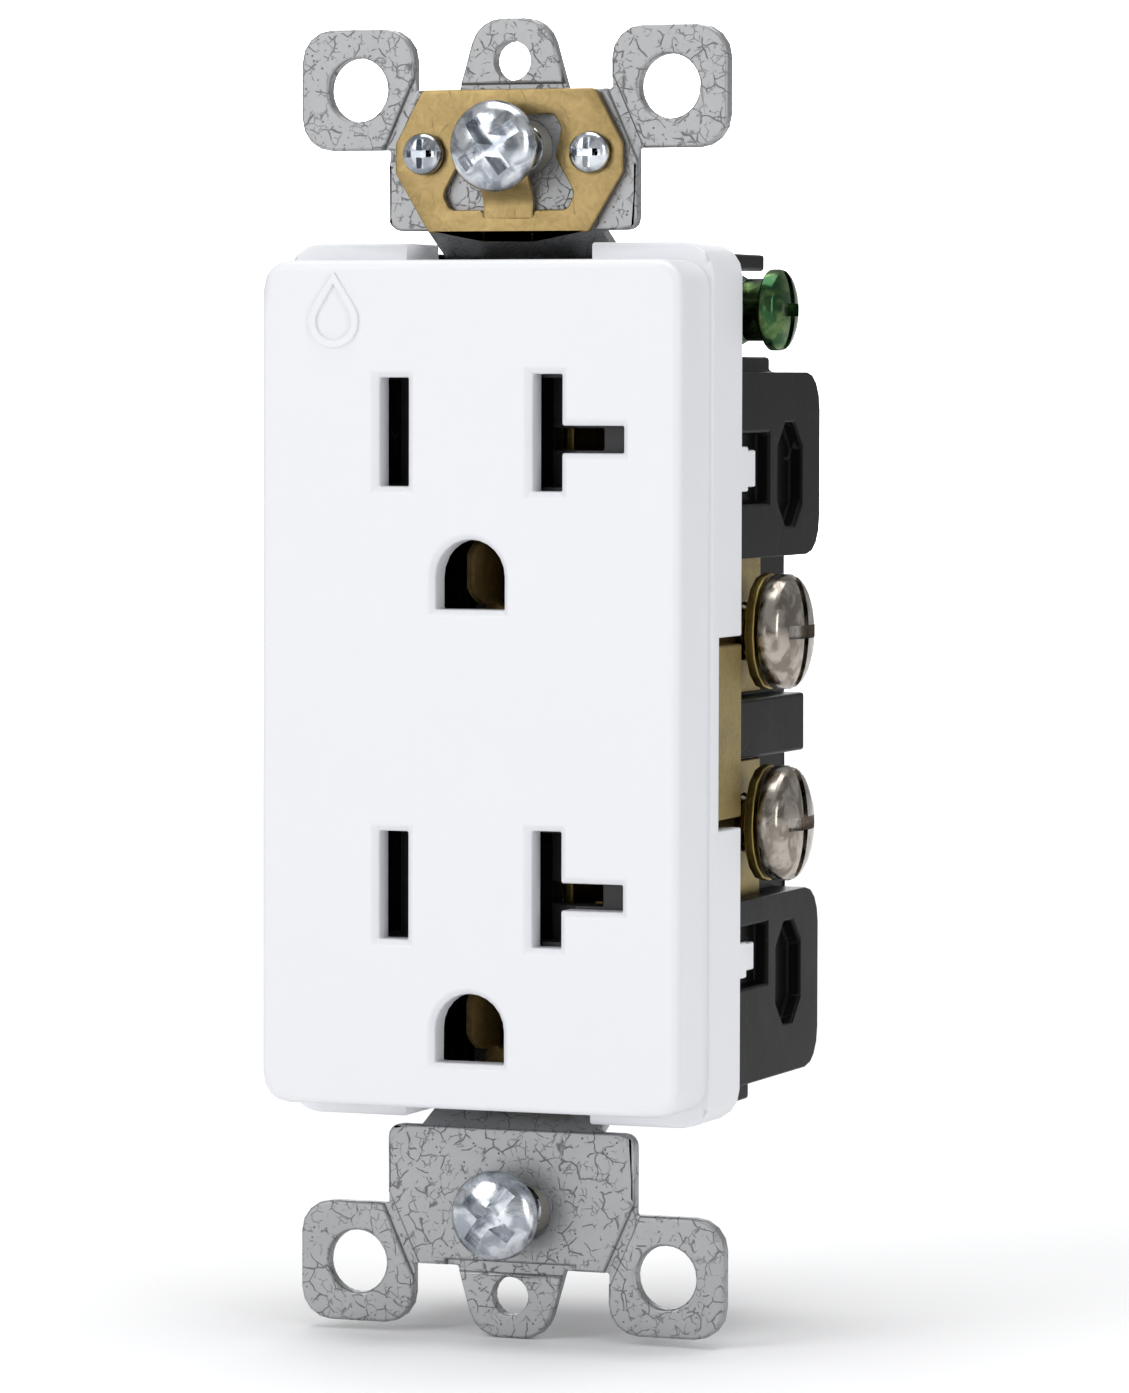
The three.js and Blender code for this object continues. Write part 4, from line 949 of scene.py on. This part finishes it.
def ground_contact(node):
    low, high = (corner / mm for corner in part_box(node))
    middle = (low.z + high.z) / 2

    def leaf_reach(share, a, b):
        into = max(0.0, leaf_corner - (b - low.y))
        half = half_leaf - leaf_corner + sqrt(max(0.0, leaf_corner ** 2 - into ** 2))
        return middle - half, middle + half

    outlines = [
        rounded_outline([
            (left, foot, corner), (right, foot, corner), (right, top, corner), (left, top, corner),
        ])
        for left, right, foot, top, corner in (
            (low.x, high.x, low.z, high.z, base_corner),
            (-grip, grip, middle - pin_hole_half, middle + pin_hole_half, base_corner / 2),
        )
    ]
    outlines += [ring(0, middle + end * rivet_rise, rivet_hole, 16) for end in (-1, 1)]
    contact = punched_sheet("shown_" + node, outlines, base_gauge, 0.1)
    turned_to(contact, (1, 0, 0), (0, 0, 1), (0, -1, 0), (0, high.y - base_gauge / 2, 0))
    routes = [leaf_route(side, low, high) for side in (-1, 1)]
    leaves = [bent_strip("leaf", route, leaf_reach, leaf_gauge) for route in routes]
    settle(joined(contact, *leaves), conductor_brass_painted_lit, node)


for level in ("upper", "lower"):
    ground_contact(f"ground_contact_{level}")

plain_turned = turned_tree(driven=False)


def rivet(node):
    low, high = (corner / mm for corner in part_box(node))
    centre = (low + high) / 2
    length = high.y - low.y
    head, tall, shank = (high.x - low.x) / 2, 0.5, 0.8
    turns = [step / 6 * pi / 2 for step in range(7)]
    dome = [(head * sin(turn), tall * (1 - cos(turn))) for turn in turns]
    points = [(radius, -down) for radius, down in dome]
    points += [(shank, -tall), (shank, tall - length)]
    points += [(radius, down - length) for radius, down in reversed(dome)]
    piece = made_from(plain_turned, "shown_" + node, profile_mesh(points), {
        "Points": len(points), "Steps": 33, "Material": conductor_brass.material,
    })
    turned_to(piece, (1, 0, 0), (0, 0, 1), (0, -1, 0), (centre.x, low.y, centre.z))
    settle(piece, conductor_brass, node)


for level in ("upper", "lower"):
    for end in ("top", "bottom"):
        rivet(f"ground_rivet_{level}_{end}")
rivet("ground_terminal_rivet")


# ---- Studio ----------------------------------------------------------------------------------
# The outlet stands on its lower tab on a wide pale floor, with a pale backdrop behind it and
# soft lights above, in front and at both sides.

floor_mesh = bpy.data.meshes.new("floor")
wide = 6.0
ground = cad_box[0].z
floor_mesh.from_pydata(
    [(-wide, -wide, ground), (wide, -wide, ground), (wide, wide, ground), (-wide, wide, ground)],
    [], [(0, 1, 2, 3)],
)
floor = bpy.data.objects.new("floor", floor_mesh)
bpy.context.scene.collection.objects.link(floor)
floor_finish = Finish("floor", Roughness=0.9)
floor_drift = floor_finish.cloud(120.0, detail=2.0)
floor_finish.set(Base_Color=floor_finish.tint(floor_drift, (0.94, 0.94, 0.945), (0.955, 0.955, 0.96)))
floor_mesh.materials.append(floor_finish.material)

backdrop_mesh = bpy.data.meshes.new("backdrop")
middle = Vector((-0.42, 1.1, ground))
half_wide = 0.35
tall = 0.45
azimuth = radians(21.0)
along = Vector((cos(azimuth), sin(azimuth), 0)) * half_wide
rise = Vector((0, 0, tall))
backdrop_mesh.from_pydata(
    [middle - along, middle + along, middle + along + rise, middle - along + rise], [], [(0, 1, 2, 3)]
)
backdrop = bpy.data.objects.new("backdrop", backdrop_mesh)
bpy.context.scene.collection.objects.link(backdrop)
backdrop_finish = Finish(
    "backdrop", Roughness=0.9, Emission_Color=(1.0, 1.0, 1.0), Emission_Strength=2.2
)
backdrop_mesh.materials.append(backdrop_finish.material)

world = bpy.data.worlds.new("studio")
world.use_nodes = True
world.node_tree.nodes["Background"].inputs["Color"].default_value = (0.98, 0.99, 1.0, 1.0)
world.node_tree.nodes["Background"].inputs["Strength"].default_value = 0.42
bpy.context.scene.world = world
bpy.context.scene.view_settings.view_transform = "Standard"


def soft_light(name, place, width, height, power):
    """A rectangular soft light that faces the outlet."""
    lamp = bpy.data.lights.new(name, "AREA")
    lamp.shape = "RECTANGLE"
    lamp.size = width
    lamp.size_y = height
    lamp.energy = power
    light = bpy.data.objects.new(name, lamp)
    light.location = place
    light.rotation_euler = (-Vector(place)).to_track_quat("-Z", "Y").to_euler()
    bpy.context.scene.collection.objects.link(light)


soft_light("key", (-0.5, -0.75, 0.5), 0.5, 0.6, 2.5)
soft_light("front", (-0.25, -0.95, 0.04), 0.6, 0.3, 1.0)
soft_light("fill", (0.95, -0.55, 0.15), 0.35, 0.8, 2.8)
soft_light("top", (0.0, 0.1, 1.2), 1.0, 1.0, 10.0)

elevation = radians(2.82)
roll = radians(0.13)
distance = 0.512
aim = Vector((0.00351, 0.00128, -0.00123))
back = Vector((sin(azimuth) * cos(elevation), -cos(azimuth) * cos(elevation), sin(elevation)))
lens = bpy.data.cameras.new("view")
lens.sensor_width = 36.0
lens.lens = 168.6
lens.clip_start = 0.01
camera = bpy.data.objects.new("view", lens)
camera.location = aim + back * distance
level = back.to_track_quat("Z", "Y").to_matrix()
camera.rotation_euler = (level @ Matrix.Rotation(roll, 3, "Z")).to_euler()
bpy.context.scene.collection.objects.link(camera)
bpy.context.scene.camera = camera
